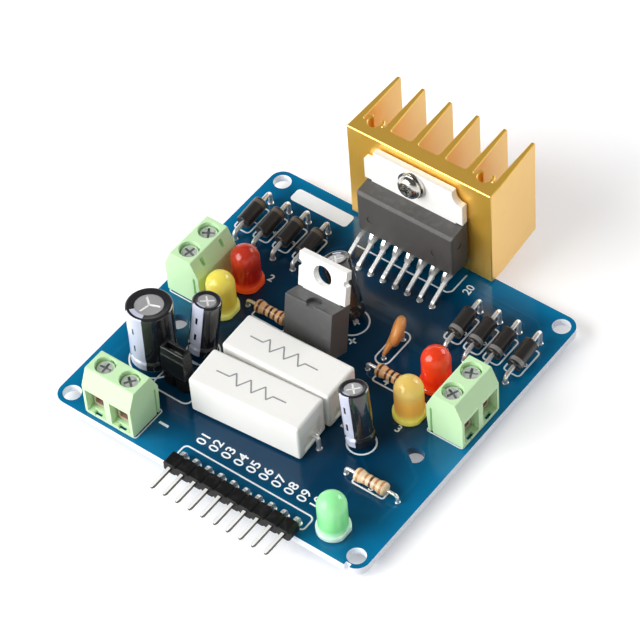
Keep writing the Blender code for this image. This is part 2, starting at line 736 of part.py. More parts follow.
def clamp_screw_mesh():
    """A terminal screw about its own axis, with a cross recess in its flat head."""
    low = CONTACT_Z + STRIP_T + GAP
    seat = WELL_FLOOR + GAP
    profile = [
        (CLAMP_SCREW_R * 0.8, low),
        (CLAMP_SCREW_R, low + 0.25),
        (CLAMP_SCREW_R, seat),
        (CLAMP_HEAD_R, seat),
        (CLAMP_HEAD_R, CLAMP_HEAD_TOP - 0.15),
        (CLAMP_HEAD_R - 0.15, CLAMP_HEAD_TOP),
    ]
    bm = bmesh.new()
    add_lathe(bm, profile, 12)
    screw = link("clamp_screw_pattern", to_mesh("clamp_screw_pattern", bm, smooth=True), None, helper=True)
    bm = bmesh.new()
    add_cross(bm, CLAMP_HEAD_R * 1.5, 0.45, CLAMP_HEAD_TOP - 0.5, CLAMP_HEAD_TOP + 1)
    combine(screw, link("clamp_screw_recess", to_mesh("clamp_screw_recess", bm), None, helper=True), "DIFFERENCE")
    bpy.context.view_layer.update()
    return baked(screw, "clamp_screw")


def clamp_cage_mesh():
    """A rising clamp about the screw's axis: a window frame with the screw's hole in its top plate."""
    wide = CHAMBER_W / 2 - GAP
    front = CAGE_V0 - SCREW_V
    back = CAGE_V1 - SCREW_V
    top = CAGE_Z + CAGE_H
    bm = bmesh.new()
    add_box(bm, (-wide, front, CAGE_Z), (wide, back, top))
    cage = link("clamp_cage_pattern", to_mesh("clamp_cage_pattern", bm), None, helper=True)
    bm = bmesh.new()
    inner = wide - CAGE_SIDE
    add_box(bm, (-inner, front - 1, CAGE_Z + CAGE_PLATE), (inner, back + 1, top - CAGE_PLATE))
    combine(cage, link("clamp_cage_window", to_mesh("clamp_cage_window", bm), None, helper=True), "DIFFERENCE")
    bm = bmesh.new()
    add_cylinder(bm, CLAMP_SCREW_R + GAP, top - CAGE_PLATE - 0.1, top + 1, (0, 0), 12)
    combine(cage, link("clamp_cage_bore", to_mesh("clamp_cage_bore", bm), None, helper=True), "DIFFERENCE")
    bpy.context.view_layer.update()
    return baked(cage, "clamp_cage")


def contact_mesh():
    """A fixed contact about the screw's axis: a strip through the clamp's window and a leg into the board."""
    bm = bmesh.new()
    front = CAGE_V0 - SCREW_V
    leg_back = CHAMBER_BACK - GAP - SCREW_V
    leg_front = leg_back - STRIP_T
    outline = [
        (front, CONTACT_Z),
        (leg_front, CONTACT_Z),
        (leg_front, LEAD_END),
        (leg_back, LEAD_END),
        (leg_back, CONTACT_Z + STRIP_T),
        (front, CONTACT_Z + STRIP_T),
    ]
    add_prism(bm, outline, -LEG_W / 2, LEG_W / 2, "X")
    return to_mesh("terminal_contact", bm)


def make_blocks(green, steel, tin):
    """Three like blocks. Each has a housing, two contacts, two screws and two rising clamps."""
    housing = block_housing(green)
    screw = clamp_screw_mesh()
    screw.materials.append(steel)
    cage = clamp_cage_mesh()
    cage.materials.append(tin)
    contact = contact_mesh()
    for name, place, degrees in BLOCKS:
        turn = (0, 0, math.radians(degrees))
        spin = Matrix.Rotation(turn[2], 2)
        link(f"terminal_housing_{name}", housing, green, (*place, 0), turn)
        for number, side in ((1, -1), (2, 1)):
            u = side * BLOCK_PITCH / 2
            axis = Vector(place) + spin @ Vector((u, SCREW_V))
            link(f"terminal_screw_{name}_{number}", screw, steel, (*axis, 0), turn)
            link(f"terminal_clamp_{name}_{number}", cage, tin, (*axis, 0), turn)
            link(f"terminal_contact_{name}_{number}", contact, tin, (*axis, 0), turn)
            leg = Vector(place) + spin @ Vector((u, CHAMBER_BACK - GAP - STRIP_T / 2))
            drill(leg.x, leg.y, math.hypot(LEG_W, STRIP_T) / 2)


def add_fused(bm, near, far, body, lead_r, near_hole, far_hole, sides):
    """An axial part in one solid. Near and far are the body's end centres, and body is its profile
    of radius and share of its length. The holes are where its leads go down through the board."""
    start = Vector(near)
    end = Vector(far)
    along = (end - start).normalized()
    level = Vector((along.x, along.y, 0)).normalized()
    near_hole = Vector((*near_hole, 0))
    far_hole = Vector((*far_hole, 0))
    lift = Vector((0, 0, 1))
    near_run = (start - near_hole).dot(level)
    far_run = (far_hole - end).dot(level)
    bend = 0.55
    near_knee = start - along * (near_run - bend) / along.dot(level)
    far_knee = end + along * (far_run - bend) / along.dot(level)
    stations = [(near_hole + lift * LEAD_END, lead_r)]
    stations += [(near_hole + lift * max(near_knee.z - 2 * bend, 0.1), lead_r)]
    stations += [(near_hole + level * bend * 0.3 + lift * (near_knee.z - bend * 0.4), lead_r)]
    stations += [(near_knee, lead_r), (start, lead_r)]
    for radius, share in body:
        stations += [(start + (end - start) * share, radius)]
    stations += [(end, lead_r), (far_knee, lead_r)]
    stations += [(far_hole - level * bend * 0.3 + lift * (far_knee.z - bend * 0.4), lead_r)]
    stations += [(far_hole + lift * max(far_knee.z - 2 * bend, 0.1), lead_r)]
    stations += [(far_hole + lift * LEAD_END, lead_r)]
    add_sweep(bm, stations, sides)


def make_diodes(black):
    """Eight diodes in two groups. Each one lies along Y with its far end a little raised."""
    body = [(DIODE_R * 0.9, 0.0), (DIODE_R, 0.05), (DIODE_R, 0.95), (DIODE_R * 0.9, 1.0)]
    middle = (DIODE_NEAR_Y + DIODE_FAR_Y) / 2
    for number, (x, near_z, far_z) in enumerate(DIODES, 1):
        bm = bmesh.new()
        near = (x, middle - DIODE_L / 2, near_z)
        far = (x, middle + DIODE_L / 2, far_z)
        add_fused(bm, near, far, body, DIODE_LEAD_R, (x, DIODE_NEAR_Y), (x, DIODE_FAR_Y), 8)
        link(f"diode_{number}", to_mesh(f"diode_{number}", bm, smooth=True), black)
        drill(x, DIODE_NEAR_Y, DIODE_LEAD_R)
        drill(x, DIODE_FAR_Y, DIODE_LEAD_R)


def make_axials(tan):
    """Three small resistors with the usual waisted body, along X."""
    body = [
        (AXIAL_R * 0.7, 0.0),
        (AXIAL_R, 0.08),
        (AXIAL_R, 0.22),
        (AXIAL_WAIST_R, 0.3),
        (AXIAL_WAIST_R, 0.7),
        (AXIAL_R, 0.78),
        (AXIAL_R, 0.92),
        (AXIAL_R * 0.7, 1.0),
    ]
    height = AXIAL_R + GAP
    for name, (x, y) in AXIALS:
        bm = bmesh.new()
        near = (x - AXIAL_L / 2, y, height)
        far = (x + AXIAL_L / 2, y, height)
        holes = ((x - AXIAL_SPAN / 2, y), (x + AXIAL_SPAN / 2, y))
        add_fused(bm, near, far, body, AXIAL_LEAD_R, *holes, 8)
        link(f"axial_resistor_{name}", to_mesh(f"axial_resistor_{name}", bm, smooth=True), tan)
        for hole in holes:
            drill(*hole, AXIAL_LEAD_R)


def make_leds():
    """Five round lamps with a flange, a domed lens and two leads each."""
    dome = []
    shoulder = LED_H - LED_R
    for step in range(1, 4):
        angle = math.radians(26 * step)
        dome.append((LED_R * math.cos(angle), shoulder + LED_R * math.sin(angle)))
    profile = [(LED_FLANGE_R, 0), (LED_FLANGE_R, LED_FLANGE_H), (LED_R, LED_FLANGE_H), (LED_R, shoulder)]
    profile += dome + [(LED_R * 0.1, LED_H)]
    for name, (x, y), colour in LEDS:
        material = make_material(f"led_{name}", colour, 0.15)
        bm = bmesh.new()
        add_lathe(bm, profile, 14, (0, 0, GAP))
        lamp = link(f"led_{name}", to_mesh(f"led_{name}", bm, smooth=True), material, (x, y, 0))
        bm = bmesh.new()
        for side in (-1, 1):
            add_sweep(bm, [((side * LED_PIN, 0, LEAD_END), LED_LEAD_R), ((side * LED_PIN, 0, 0.8), LED_LEAD_R)], 4)
            drill(x + side * LED_PIN, y, LED_LEAD_R)
        tool = link(f"led_{name}_leads", to_mesh(f"led_{name}_leads", bm), None, (x, y, 0), helper=True)
        combine(lamp, tool, "UNION")


def make_cans(sleeve):
    """Four electrolytic capacitors, each tilted about its foot as it was soldered."""
    for name, radius, height, (x, y), (lean_x, lean_y), pin in CANS:
        rise = math.sqrt(height**2 - lean_x**2 - lean_y**2)
        axis = Vector((lean_x, lean_y, rise)).normalized()
        turn = Vector((0, 0, 1)).rotation_difference(axis).to_euler()
        drop = radius * math.hypot(axis.x, axis.y)
        foot = (x, y, GAP + drop)
        crimp = 1.6
        profile = [
            (radius - 0.3, 0),
            (radius, 0.3),
            (radius, crimp),
            (radius - 0.35, crimp + 0.3),
            (radius, crimp + 0.6),
            (radius, height - 0.35),
            (radius - 0.4, height),
            (radius - 0.7, height),
            (radius - 0.75, height - 0.25),
        ]
        bm = bmesh.new()
        add_lathe(bm, profile, 16)
        can = link(f"electrolytic_{name}", to_mesh(f"electrolytic_{name}", bm, smooth=True), sleeve, foot, turn)
        bm = bmesh.new()
        frame = Matrix.Translation(foot) @ turn.to_matrix().to_4x4()
        for side in (-1, 1):
            inner = frame @ Vector((side * pin, 0, 1.0))
            under = frame @ Vector((side * pin, 0, -0.05))
            stations = [((x + side * pin, y, LEAD_END), CAN_LEAD_R), ((x + side * pin, y, 0.1), CAN_LEAD_R)]
            stations += [(under, CAN_LEAD_R), (inner, CAN_LEAD_R)]
            add_sweep(bm, stations, 4)
            drill(x + side * pin, y, CAN_LEAD_R)
        tool = link(f"electrolytic_{name}_leads", to_mesh(f"electrolytic_{name}_leads", bm), None, helper=True)
        combine(can, tool, "UNION")


def make_disc(orange):
    """A dipped ceramic disc that leans over its leads, with the dip running down both of them."""
    profile = []
    for share, thick in ((0.5, -1.0), (0.85, -0.8), (1.0, -0.3), (1.0, 0.3), (0.85, 0.8), (0.5, 1.0)):
        profile.append((DISC_R * share, DISC_T / 2 * thick))
    bm = bmesh.new()
    add_lathe(bm, profile, 16, axis="X")
    turn = Vector((1, 0, 0)).rotation_difference(Vector(DISC_AXIS)).to_euler()
    disc = link("ceramic_disc", to_mesh("ceramic_disc", bm, smooth=True), orange, DISC_PLACE, turn)
    bm = bmesh.new()
    centre = Vector(DISC_PLACE)
    for x, y in DISC_HOLES:
        knee = Vector((x, y, 0.9))
        inner = knee.lerp(centre, 0.65)
        stations = [((x, y, LEAD_END), DISC_LEAD_R), (knee, DISC_LEAD_R)]
        stations += [(knee.lerp(centre, 0.15), 0.5), (inner, 0.85)]
        add_sweep(bm, stations, 6)
        drill(x, y, DISC_LEAD_R)
    tool = link("ceramic_disc_leads", to_mesh("ceramic_disc_leads", bm), None, helper=True)
    combine(disc, tool, "UNION")


def make_ceramics(white):
    """Two wire-wound resistors in open-ended ceramic cases, with a bent lead at each end."""
    half = CERAMIC_L / 2
    wide = CERAMIC_W / 2
    for name, (x, y), degrees in CERAMICS:
        turn = (0, 0, math.radians(degrees))
        spin = Matrix.Rotation(turn[2], 2)
        bm = bmesh.new()
        add_box(bm, (-half, -wide, GAP), (half, wide, CERAMIC_TOP))
        bmesh.ops.bevel(bm, geom=list(bm.edges), offset=CERAMIC_EDGE, segments=2, affect="EDGES", profile=0.5)
        case = link(f"ceramic_resistor_{name}", to_mesh(f"ceramic_resistor_{name}", bm), white, (x, y, 0), turn)
        recess = bmesh.new()
        leads = bmesh.new()
        for side in (-1, 1):
            low, high = sorted((side * (half - 0.7), side * (half + 1)))
            add_box(recess, (low, -1.7, 1.5), (high, 1.7, 4.6))
            reach = side * (half + CERAMIC_REACH)
            stations = [((side * (half - 1.5), 0, CERAMIC_LEAD_Z), CERAMIC_LEAD_R)]
            stations += [((reach - side * 0.5, 0, CERAMIC_LEAD_Z), CERAMIC_LEAD_R)]
            stations += [((reach, 0, CERAMIC_LEAD_Z - 0.5), CERAMIC_LEAD_R)]
            stations += [((reach, 0, LEAD_END), CERAMIC_LEAD_R)]
            add_sweep(leads, stations, 6)
            hole = Vector((x, y)) + spin @ Vector((reach, 0))
            drill(hole.x, hole.y, CERAMIC_LEAD_R)
        tool = link(f"{case.name}_recess", to_mesh(f"{case.name}_recess", recess), None, (x, y, 0), turn, True)
        combine(case, tool, "DIFFERENCE")
        tool = link(f"{case.name}_leads", to_mesh(f"{case.name}_leads", leads), None, (x, y, 0), turn, True)
        combine(case, tool, "UNION")


def make_board(blue):
    """The board: a rounded outline with a nick in its front edge, mounting holes and lead holes."""
    low_x = -BOARD_EDGE
    low_y = -BOARD_EDGE
    high_x = HOLE_PITCH_X + BOARD_EDGE
    high_y = HOLE_PITCH_Y + BOARD_EDGE
    r = BOARD_CORNER_R
    outline = arc((low_x + r, low_y + r), r, 180, 270, 4)
    outline += [(NOTCH_X - NOTCH_W / 2, low_y), (NOTCH_X - NOTCH_W / 2, low_y + NOTCH_D)]
    outline += [(NOTCH_X + NOTCH_W / 2, low_y + NOTCH_D), (NOTCH_X + NOTCH_W / 2, low_y + 0.02)]
    outline += arc((high_x - r, low_y + r), r, 277, 360, 4)
    outline += arc((high_x - r, high_y - r), r, 0, 90, 4)
    outline += arc((low_x + r, high_y - r), r, 90, 180, 4)
    bm = bmesh.new()
    add_prism(bm, outline, -BOARD_T, 0)
    board = link("circuit_board", to_mesh("circuit_board", bm), blue)
    bm = bmesh.new()
    corners = [(x, y) for x in (0, HOLE_PITCH_X) for y in (0, HOLE_PITCH_Y)]
    for centre in corners + list(SPARE_HOLES):
        add_cylinder(bm, MOUNT_HOLE_R, -BOARD_T - 1, 1, centre, 20)
    solder = bmesh.new()
    for x, y, radius in drilled:
        reach = (radius + GAP) * math.sqrt(2)
        add_sweep(bm, [((x, y, HOLE_FLOOR), reach), ((x, y, 1), reach)], 4)
        wide = max(SOLDER_R, radius)
        add_lathe(solder, [(SOLDER_TIP_R, -BOARD_LIFT), (wide, -BOARD_T + SOLDER_ROOT)], 6, (x, y, 0))
    tool = link("circuit_board_solder", to_mesh("circuit_board_solder", solder), None, helper=True)
    combine(board, tool, "UNION")
    combine(board, link("circuit_board_holes", to_mesh("circuit_board_holes", bm), None, helper=True), "DIFFERENCE")


def main():
    clear_scene()
    frame = bpy.data.objects.new("board_frame", None)
    bpy.context.scene.collection.objects.link(frame)
    frame.location = Vector(BOARD_PLACE) * MM
    blue = make_material("board_blue", (0.005, 0.05, 0.16), 0.25)
    gold = make_material("gold_anodised", (0.62, 0.36, 0.06), 0.4, 0.7)
    black = make_material("moulded_black", (0.02, 0.02, 0.02), 0.55)
    tin = make_material("tinned_metal", (0.75, 0.75, 0.74), 0.3, 1.0)
    steel = make_material("zinc_steel", (0.6, 0.6, 0.6), 0.3, 1.0)
    green = make_material("pale_green_plastic", (0.45, 0.78, 0.38), 0.4)
    sleeve = make_material("black_sleeve", (0.015, 0.015, 0.017), 0.3)
    white = make_material("white_ceramic", (0.85, 0.83, 0.8), 0.6)
    orange = make_material("orange_dip", (0.7, 0.28, 0.06), 0.45)
    tan = make_material("tan_lacquer", (0.72, 0.5, 0.28), 0.4)
    make_heatsink(gold)
    make_chip(black, tin)
    make_heatsink_screw(steel)
    make_regulator(black, tin)
    make_header(black)
    make_jumper(black)
    make_blocks(green, steel, tin)
    make_diodes(black)
    make_axials(tan)
    make_leds()
    make_cans(sleeve)
    make_disc(orange)
    make_ceramics(white)
    make_board(blue)


main()
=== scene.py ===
"""Looks of a DC motor driver module: finishes, fine shapes, printed marks, studio and camera.

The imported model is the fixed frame. Lengths are millimetres in the board's own frame, whose origin is the
centre of the left front mounting hole on the board's top face, until a piece is placed in the row frame.
"""

from __future__ import annotations

import json
import logging
import math
import random
from collections.abc import Callable, Mapping, Sequence
from dataclasses import dataclass, field
from enum import Enum

import bmesh
import bpy
from bmesh.types import BMesh, BMEdge, BMVert
from mathutils import Euler, Matrix, Vector

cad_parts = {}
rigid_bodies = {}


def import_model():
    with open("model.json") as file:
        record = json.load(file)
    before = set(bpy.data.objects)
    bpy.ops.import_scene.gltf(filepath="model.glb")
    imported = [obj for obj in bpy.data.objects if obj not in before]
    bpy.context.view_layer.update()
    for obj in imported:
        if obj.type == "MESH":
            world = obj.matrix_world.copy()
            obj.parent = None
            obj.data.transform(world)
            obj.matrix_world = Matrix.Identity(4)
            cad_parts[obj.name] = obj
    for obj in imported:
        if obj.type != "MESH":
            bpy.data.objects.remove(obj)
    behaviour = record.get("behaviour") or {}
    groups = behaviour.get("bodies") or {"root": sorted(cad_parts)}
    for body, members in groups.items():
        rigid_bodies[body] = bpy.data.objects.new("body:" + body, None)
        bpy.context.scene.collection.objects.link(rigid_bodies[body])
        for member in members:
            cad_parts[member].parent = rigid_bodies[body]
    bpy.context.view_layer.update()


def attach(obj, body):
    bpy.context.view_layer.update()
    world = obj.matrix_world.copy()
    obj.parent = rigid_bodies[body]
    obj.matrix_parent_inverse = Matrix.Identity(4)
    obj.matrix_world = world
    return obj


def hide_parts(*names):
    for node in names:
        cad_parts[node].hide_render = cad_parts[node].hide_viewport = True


for leftover in list(bpy.data.objects):
    bpy.data.objects.remove(leftover, do_unlink=True)

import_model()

Colour = tuple[float, float, float]
Flat = tuple[float, float]
Point = tuple[float, float, float]
Box = tuple[Point, Point]

log = logging.getLogger("module")

BOARD_PLACE = Matrix.Scale(0.001, 4) @ Matrix.Translation((-29.05, -31.625, 3.1))
HOLE_PITCH = (58.1, 56.8)
MIDDLE = HOLE_PITCH[0] / 2
BOARD_T = 1.6
LEAD_END = -1.0
PITCH = 2.54
LIFT = 0.3


def shade(code: str) -> Colour:
    """Turns a web colour into the linear colour that shaders take.

    Args:
        code: Six hexadecimal digits after a hash sign.

    Returns:
        Linear red, green and blue.
    """
    steps = [int(code[place : place + 2], 16) / 255 for place in (1, 3, 5)]
    red, green, blue = [step / 12.92 if step <= 0.04045 else ((step + 0.055) / 1.055) ** 2.4 for step in steps]
    return red, green, blue


# ---------------------------------------------------------------- shaping


class Axis(Enum):
    """The axis that a flat outline is extruded along, with the turn that brings local Z there."""

    X = ((0, 0, 1, 0), (1, 0, 0, 0), (0, 1, 0, 0), (0, 0, 0, 1))
    Y = ((1, 0, 0, 0), (0, 0, 1, 0), (0, 1, 0, 0), (0, 0, 0, 1))
    Z = ((1, 0, 0, 0), (0, 1, 0, 0), (0, 0, 1, 0), (0, 0, 0, 1))


@dataclass(frozen=True)
class Section:
    """The cross-section of a wire or strip: four sides make a rectangle, more sides an oval."""

    width: float
    depth: float
    sides: int = 12


def meshed(bm: BMesh, name: str) -> bpy.types.Mesh:
    """Turns a shape into mesh data.

    Args:
        bm: The shape, which is freed.
        name: The data's name.

    Returns:
        The mesh data.
    """
    mesh = bpy.data.meshes.new(name)
    bm.to_mesh(mesh)
    bm.free()
    return mesh


def shown(name: str, data: bpy.types.ID) -> bpy.types.Object:
    """Puts data into the scene as an object.

    Args:
        name: The object's name.
        data: Its mesh, curve, lamp or camera data.

    Returns:
        The object.
    """
    thing = bpy.data.objects.new(name, data)
    bpy.context.scene.collection.objects.link(thing)
    return thing


def evaluated(thing: bpy.types.Object) -> BMesh:
    """Takes an object's shape with its modifiers applied.

    Args:
        thing: The object, which is deleted with its data.

    Returns:
        The shape.
    """
    bpy.context.view_layer.update()
    mesh = bpy.data.meshes.new_from_object(thing.evaluated_get(bpy.context.evaluated_depsgraph_get()))
    made = bmesh.new()
    made.from_mesh(mesh)
    bpy.data.batch_remove([thing, thing.data, mesh])
    return made


def soften(bm: BMesh, offset: float, segments: int = 2, angle: float = 30.0, clamp: bool = True) -> BMesh:
    """Bevels every edge that is sharper than an angle.

    Args:
        bm: The shape.
        offset: Width of the bevel.
        segments: Faces across it.
        angle: Least angle between an edge's faces, in degrees.
        clamp: Whether short edges hold the bevel back everywhere.

    Returns:
        The same shape.
    """
    limit = math.radians(angle)
    edges = [edge for edge in bm.edges if edge.is_manifold and edge.calc_face_angle(0.0) > limit]
    return beveled(bm, edges, offset, segments, clamp)


def beveled(bm: BMesh, edges: Sequence[BMEdge], offset: float, segments: int, clamp: bool = True) -> BMesh:
    """Bevels some edges of a shape.

    Args:
        bm: The shape.
        edges: The edges.
        offset: Width of the bevel.
        segments: Faces across it.
        clamp: Whether short edges hold the bevel back everywhere.

    Returns:
        The same shape.
    """
    bmesh.ops.bevel(
        bm,
        geom=edges,
        offset=offset,
        offset_type="OFFSET",
        segments=segments,
        profile=0.5,
        affect="EDGES",
        material=-1,
        clamp_overlap=clamp,
    )
    return bm


def slab(low: Point, high: Point, bevel: float = 0.0, segments: int = 2) -> BMesh:
    """Makes a block with softened edges.

    Args:
        low: Lowest corner.
        high: Highest corner.
        bevel: Width of the bevel, or zero.
        segments: Faces across the bevel.

    Returns:
        The shape.
    """
    bm = bmesh.new()
    size = Vector(high) - Vector(low)
    middle = (Vector(high) + Vector(low)) / 2
    bmesh.ops.create_cube(bm, size=1.0, matrix=Matrix.Translation(middle) @ Matrix.Diagonal((*size, 1.0)))
    return soften(bm, bevel, segments) if bevel else bm


def turned(profile: Sequence[Flat], steps: int = 32) -> BMesh:
    """Spins a profile of radius and height about Z.

    Args:
        profile: Points from the axis and back to it for a closed shape.
        steps: Faces round the axis.

    Returns:
        The shape.
    """
    bm = bmesh.new()
    verts = [bm.verts.new((radius, 0.0, height)) for radius, height in profile]
    edges = [bm.edges.new(pair) for pair in zip(verts, verts[1:])]
    bmesh.ops.spin(
        bm,
        geom=[*verts, *edges],
        cent=(0, 0, 0),
        axis=(0, 0, 1),
        dvec=(0, 0, 0),
        angle=math.tau,
        steps=steps,
        use_merge=True,
    )
    bmesh.ops.remove_doubles(bm, verts=bm.verts, dist=1e-5)
    bmesh.ops.recalc_face_normals(bm, faces=bm.faces)
    return bm


def drum(radius: float, low: float, high: float, bevel: float = 0.0, steps: int = 32) -> BMesh:
    """Makes a round bar along Z.

    Args:
        radius: Its radius.
        low: Its lower end.
        high: Its upper end.
        bevel: Size of the rounding of both rims, or zero.
        steps: Faces round it.

    Returns:
        The shape.
    """
    half = min(bevel, (high - low) / 2)
    near = half * 0.3
    profile = [(0.0, low), (radius - half, low), (radius - near, low + near), (radius, low + half)]
    profile += [(radius, high - half), (radius - near, high - near), (radius - half, high), (0.0, high)]
    return turned(profile if bevel else [(0.0, low), (radius, low), (radius, high), (0.0, high)], steps)


def extruded(
    outline: Sequence[Flat], low: float, high: float, axis: Axis = Axis.Z, holes: Sequence[Sequence[Flat]] = ()
) -> BMesh:
    """Extrudes a flat outline, with or without holes, along an axis.

    Args:
        outline: Corners on the other two axes in order.
        low: Start on the axis.
        high: End on the axis.
        axis: The axis.
        holes: Outlines of holes right through.

    Returns:
        The shape.
    """
    bm = bmesh.new()
    edges: list[BMEdge] = []
    for loop in (outline, *holes):
        verts = [bm.verts.new((*corner, low)) for corner in loop]
        edges += [bm.edges.new((verts[index - 1], verts[index])) for index in range(len(verts))]
    if holes:
        bmesh.ops.triangle_fill(bm, use_beauty=True, use_dissolve=False, edges=edges, normal=(0, 0, 1))
    else:
        bmesh.ops.contextual_create(bm, geom=edges)
    grown = bmesh.ops.extrude_face_region(bm, geom=list(bm.faces))["geom"]
    bmesh.ops.translate(bm, vec=(0, 0, high - low), verts=[item for item in grown if isinstance(item, BMVert)])
    bmesh.ops.transform(bm, matrix=Matrix(axis.value), verts=bm.verts)
    bmesh.ops.recalc_face_normals(bm, faces=bm.faces)
    return bm


def rounded(path: Sequence[Point], bend: float, steps: int = 4) -> list[Vector]:
    """Rounds the corners of a path.

    Args:
        path: Points of the path.
        bend: How far before and after a corner its bend reaches.
        steps: Points along each bend.

    Returns:
        The points of the rounded path.
    """
    points = [Vector(point) for point in path]
    result = [points[0]]
    for before, corner, after in zip(points, points[1:], points[2:]):
        reach = min(bend, (before - corner).length * 0.48, (after - corner).length * 0.48)
        start = corner + (before - corner).normalized() * reach
        end = corner + (after - corner).normalized() * reach
        for step in range(steps + 1):
            share = step / steps
            result.append(start.lerp(corner, share).lerp(corner.lerp(end, share), share))
    return [*result, points[-1]]


def swept(
    path: Sequence[Vector], section: Section, hint: Point = (1, 0, 0), sizes: Sequence[float] = (), loop: bool = False
) -> BMesh:
    """Grows a wire or strip ring by ring along a path and closes its ends.

    Args:
        path: Points of the centre line.
        section: The cross-section.
        hint: Direction of the section's width.
        sizes: Scale of the section at each point, or nothing.
        loop: Whether the last point joins the first.

    Returns:
        The shape.
    """
    points = [Vector(point) for point in path]
    places = []
    for index, point in enumerate(points):
        before = points[index - 1] if index or loop else point
        after = points[(index + 1) % len(points)] if index + 1 < len(points) or loop else point
        along = (after - before).normalized()
        across = (Vector(hint) - along * along.dot(Vector(hint))).normalized()
        size = sizes[index] if sizes else 1.0
        columns = (across * section.width * size, along.cross(across) * section.depth * size, along, point)
        places.append(Matrix([(*row, 0.0 if number < 3 else 1.0) for number, row in enumerate(columns)]).transposed())
    square = section.sides == 4
    bm = bmesh.new()
    bmesh.ops.create_circle(
        bm,
        cap_ends=False,
        segments=section.sides,
        radius=math.sqrt(0.5) if square else 0.5,
        matrix=places[0] @ Matrix.Rotation(math.pi / 4 if square else 0.0, 4, "Z"),
    )
    edges = start = list(bm.edges)
    for first, second in zip(places, places[1:]):
        grown = bmesh.ops.extrude_edge_only(bm, edges=edges)["geom"]
        rim = {item for item in grown if isinstance(item, BMVert)}
        edges = [item for item in grown if isinstance(item, BMEdge) and set(item.verts) <= rim]
        bmesh.ops.transform(bm, matrix=second @ first.inverted(), verts=list(rim))
    if loop:
        bmesh.ops.bridge_loops(bm, edges=[*start, *edges])
    else:
        bmesh.ops.holes_fill(bm, edges=bm.edges, sides=0)
    bmesh.ops.recalc_face_normals(bm, faces=bm.faces)
    return bm


def wire(path: Sequence[Point], radius: float, bend: float = 0.5, sides: int = 12, hint: Point = (1, 0, 0)) -> BMesh:
    """Makes a round wire with rounded bends along a path."""
    return swept(rounded(path, bend), Section(radius * 2, radius * 2, sides), hint)


def strip(
    path: Sequence[Vector], width: float, depth: float, bevel: float = 0.05, sizes: Sequence[float] = ()
) -> BMesh:
    """Makes a rectangular strip along a path, with its edges just broken."""
    return soften(swept(path, Section(width, depth, 4), sizes=sizes), bevel, 1, 50)


def line(
    path: Sequence[Flat], width: float, floor: float, height: float, closed: bool = False, bend: float = 0.25
) -> BMesh:
    """Draws a flat line on a surface, with its corners rounded.

    Args:
        path: Points of its centre line.
        width: Width of the line.
        floor: Height of the surface that it lies on.
        height: Its thickness.
        closed: Whether the end joins the start.
        bend: Reach of the bend at each corner.

    Returns:
        The shape.
    """
    points = [(*point, floor + height / 2) for point in path]
    section = Section(height, width, 4)
    if not closed:
        return swept(rounded(points, bend), section, (0, 0, 1))
    return swept(rounded([*points, points[0], points[1]], bend)[1:-1], section, (0, 0, 1), loop=True)


def cross(reach: float, half: float, low: float, high: float) -> tuple[BMesh, BMesh]:
    """Makes the two bars that cut a screw's recess, between two heights."""
    return slab((-reach, -half, low), (reach, half, high)), slab((-half, -reach, low), (half, reach, high))


def merged(*parts: BMesh) -> BMesh:
    """Joins shapes into one, keeping their material numbers.

    Args:
        parts: The shapes, which are freed.

    Returns:
        The joined shape.
    """
    whole = bmesh.new()
    for part in parts:
        mesh = meshed(part, "part")
        whole.from_mesh(mesh)
        bpy.data.meshes.remove(mesh)
    return whole


def inked(bm: BMesh, number: int) -> BMesh:
    """Gives every face of a shape one material.

    Args:
        bm: The shape.
        number: The material's number.

    Returns:
        The same shape.
    """
    for face in bm.faces:
        face.material_index = number
    return bm


def placed(bm: BMesh, matrix: Matrix) -> BMesh:
    """Moves a shape and keeps its faces pointing out.

    Args:
        bm: The shape.
        matrix: The move.

    Returns:
        The same shape.
    """
    bmesh.ops.transform(bm, matrix=matrix, verts=bm.verts)
    if matrix.determinant() < 0:
        bmesh.ops.reverse_faces(bm, faces=bm.faces)
    return bm


def shifted(bm: BMesh, x: float = 0.0, y: float = 0.0, z: float = 0.0) -> BMesh:
    """Moves a shape by a step."""
    return placed(bm, Matrix.Translation((x, y, z)))


def spun(degrees: float) -> Matrix:
    """Gives a turn about Z."""
    return Matrix.Rotation(math.radians(degrees), 4, "Z")


def leaning(axis: Vector) -> Matrix:
    """Gives the turn that brings Z to an axis."""
    return Vector((0, 0, 1)).rotation_difference(axis).to_matrix().to_4x4()


def laid(bm: BMesh, axis: Axis) -> BMesh:
    """Turns a shape that stands on Z so that it points along the X or Y axis."""
    return placed(bm, Matrix.Rotation(math.pi / 2, 4, "Y") if axis is Axis.X else Matrix.Rotation(-math.pi / 2, 4, "X"))


def finished(bm: BMesh, modifiers: Callable[[bpy.types.Object], None]) -> BMesh:
    """Applies modifiers to a shape.

    Args:
        bm: The shape, which is freed.
        modifiers: Adds the modifiers to an object that holds it.

    Returns:
        The new shape.
    """
    thing = shown("work", meshed(bm, "work"))
    modifiers(thing)
    return evaluated(thing)


def settled(bm: BMesh) -> BMesh:
    """Numbers a shape's vertices and faces by their places, so that every run goes on from the same mesh.

    Args:
        bm: The shape, which is freed.

    Returns:
        The same shape with its parts in order.
    """
    ordered = sorted(bm.verts, key=lambda vert: [round(value, 4) for value in vert.co])
    number = {vert: index for index, vert in enumerate(ordered)}
    faces = []
    for face in bm.faces:
        loop = [number[vert] for vert in face.verts]
        start = loop.index(min(loop))
        faces.append((loop[start:] + loop[:start], face.material_index))
    made = bmesh.new()
    verts = [made.verts.new(vert.co) for vert in ordered]
    for loop, material in sorted(faces):
        made.faces.new([verts[index] for index in loop]).material_index = material
    bm.free()
    return made


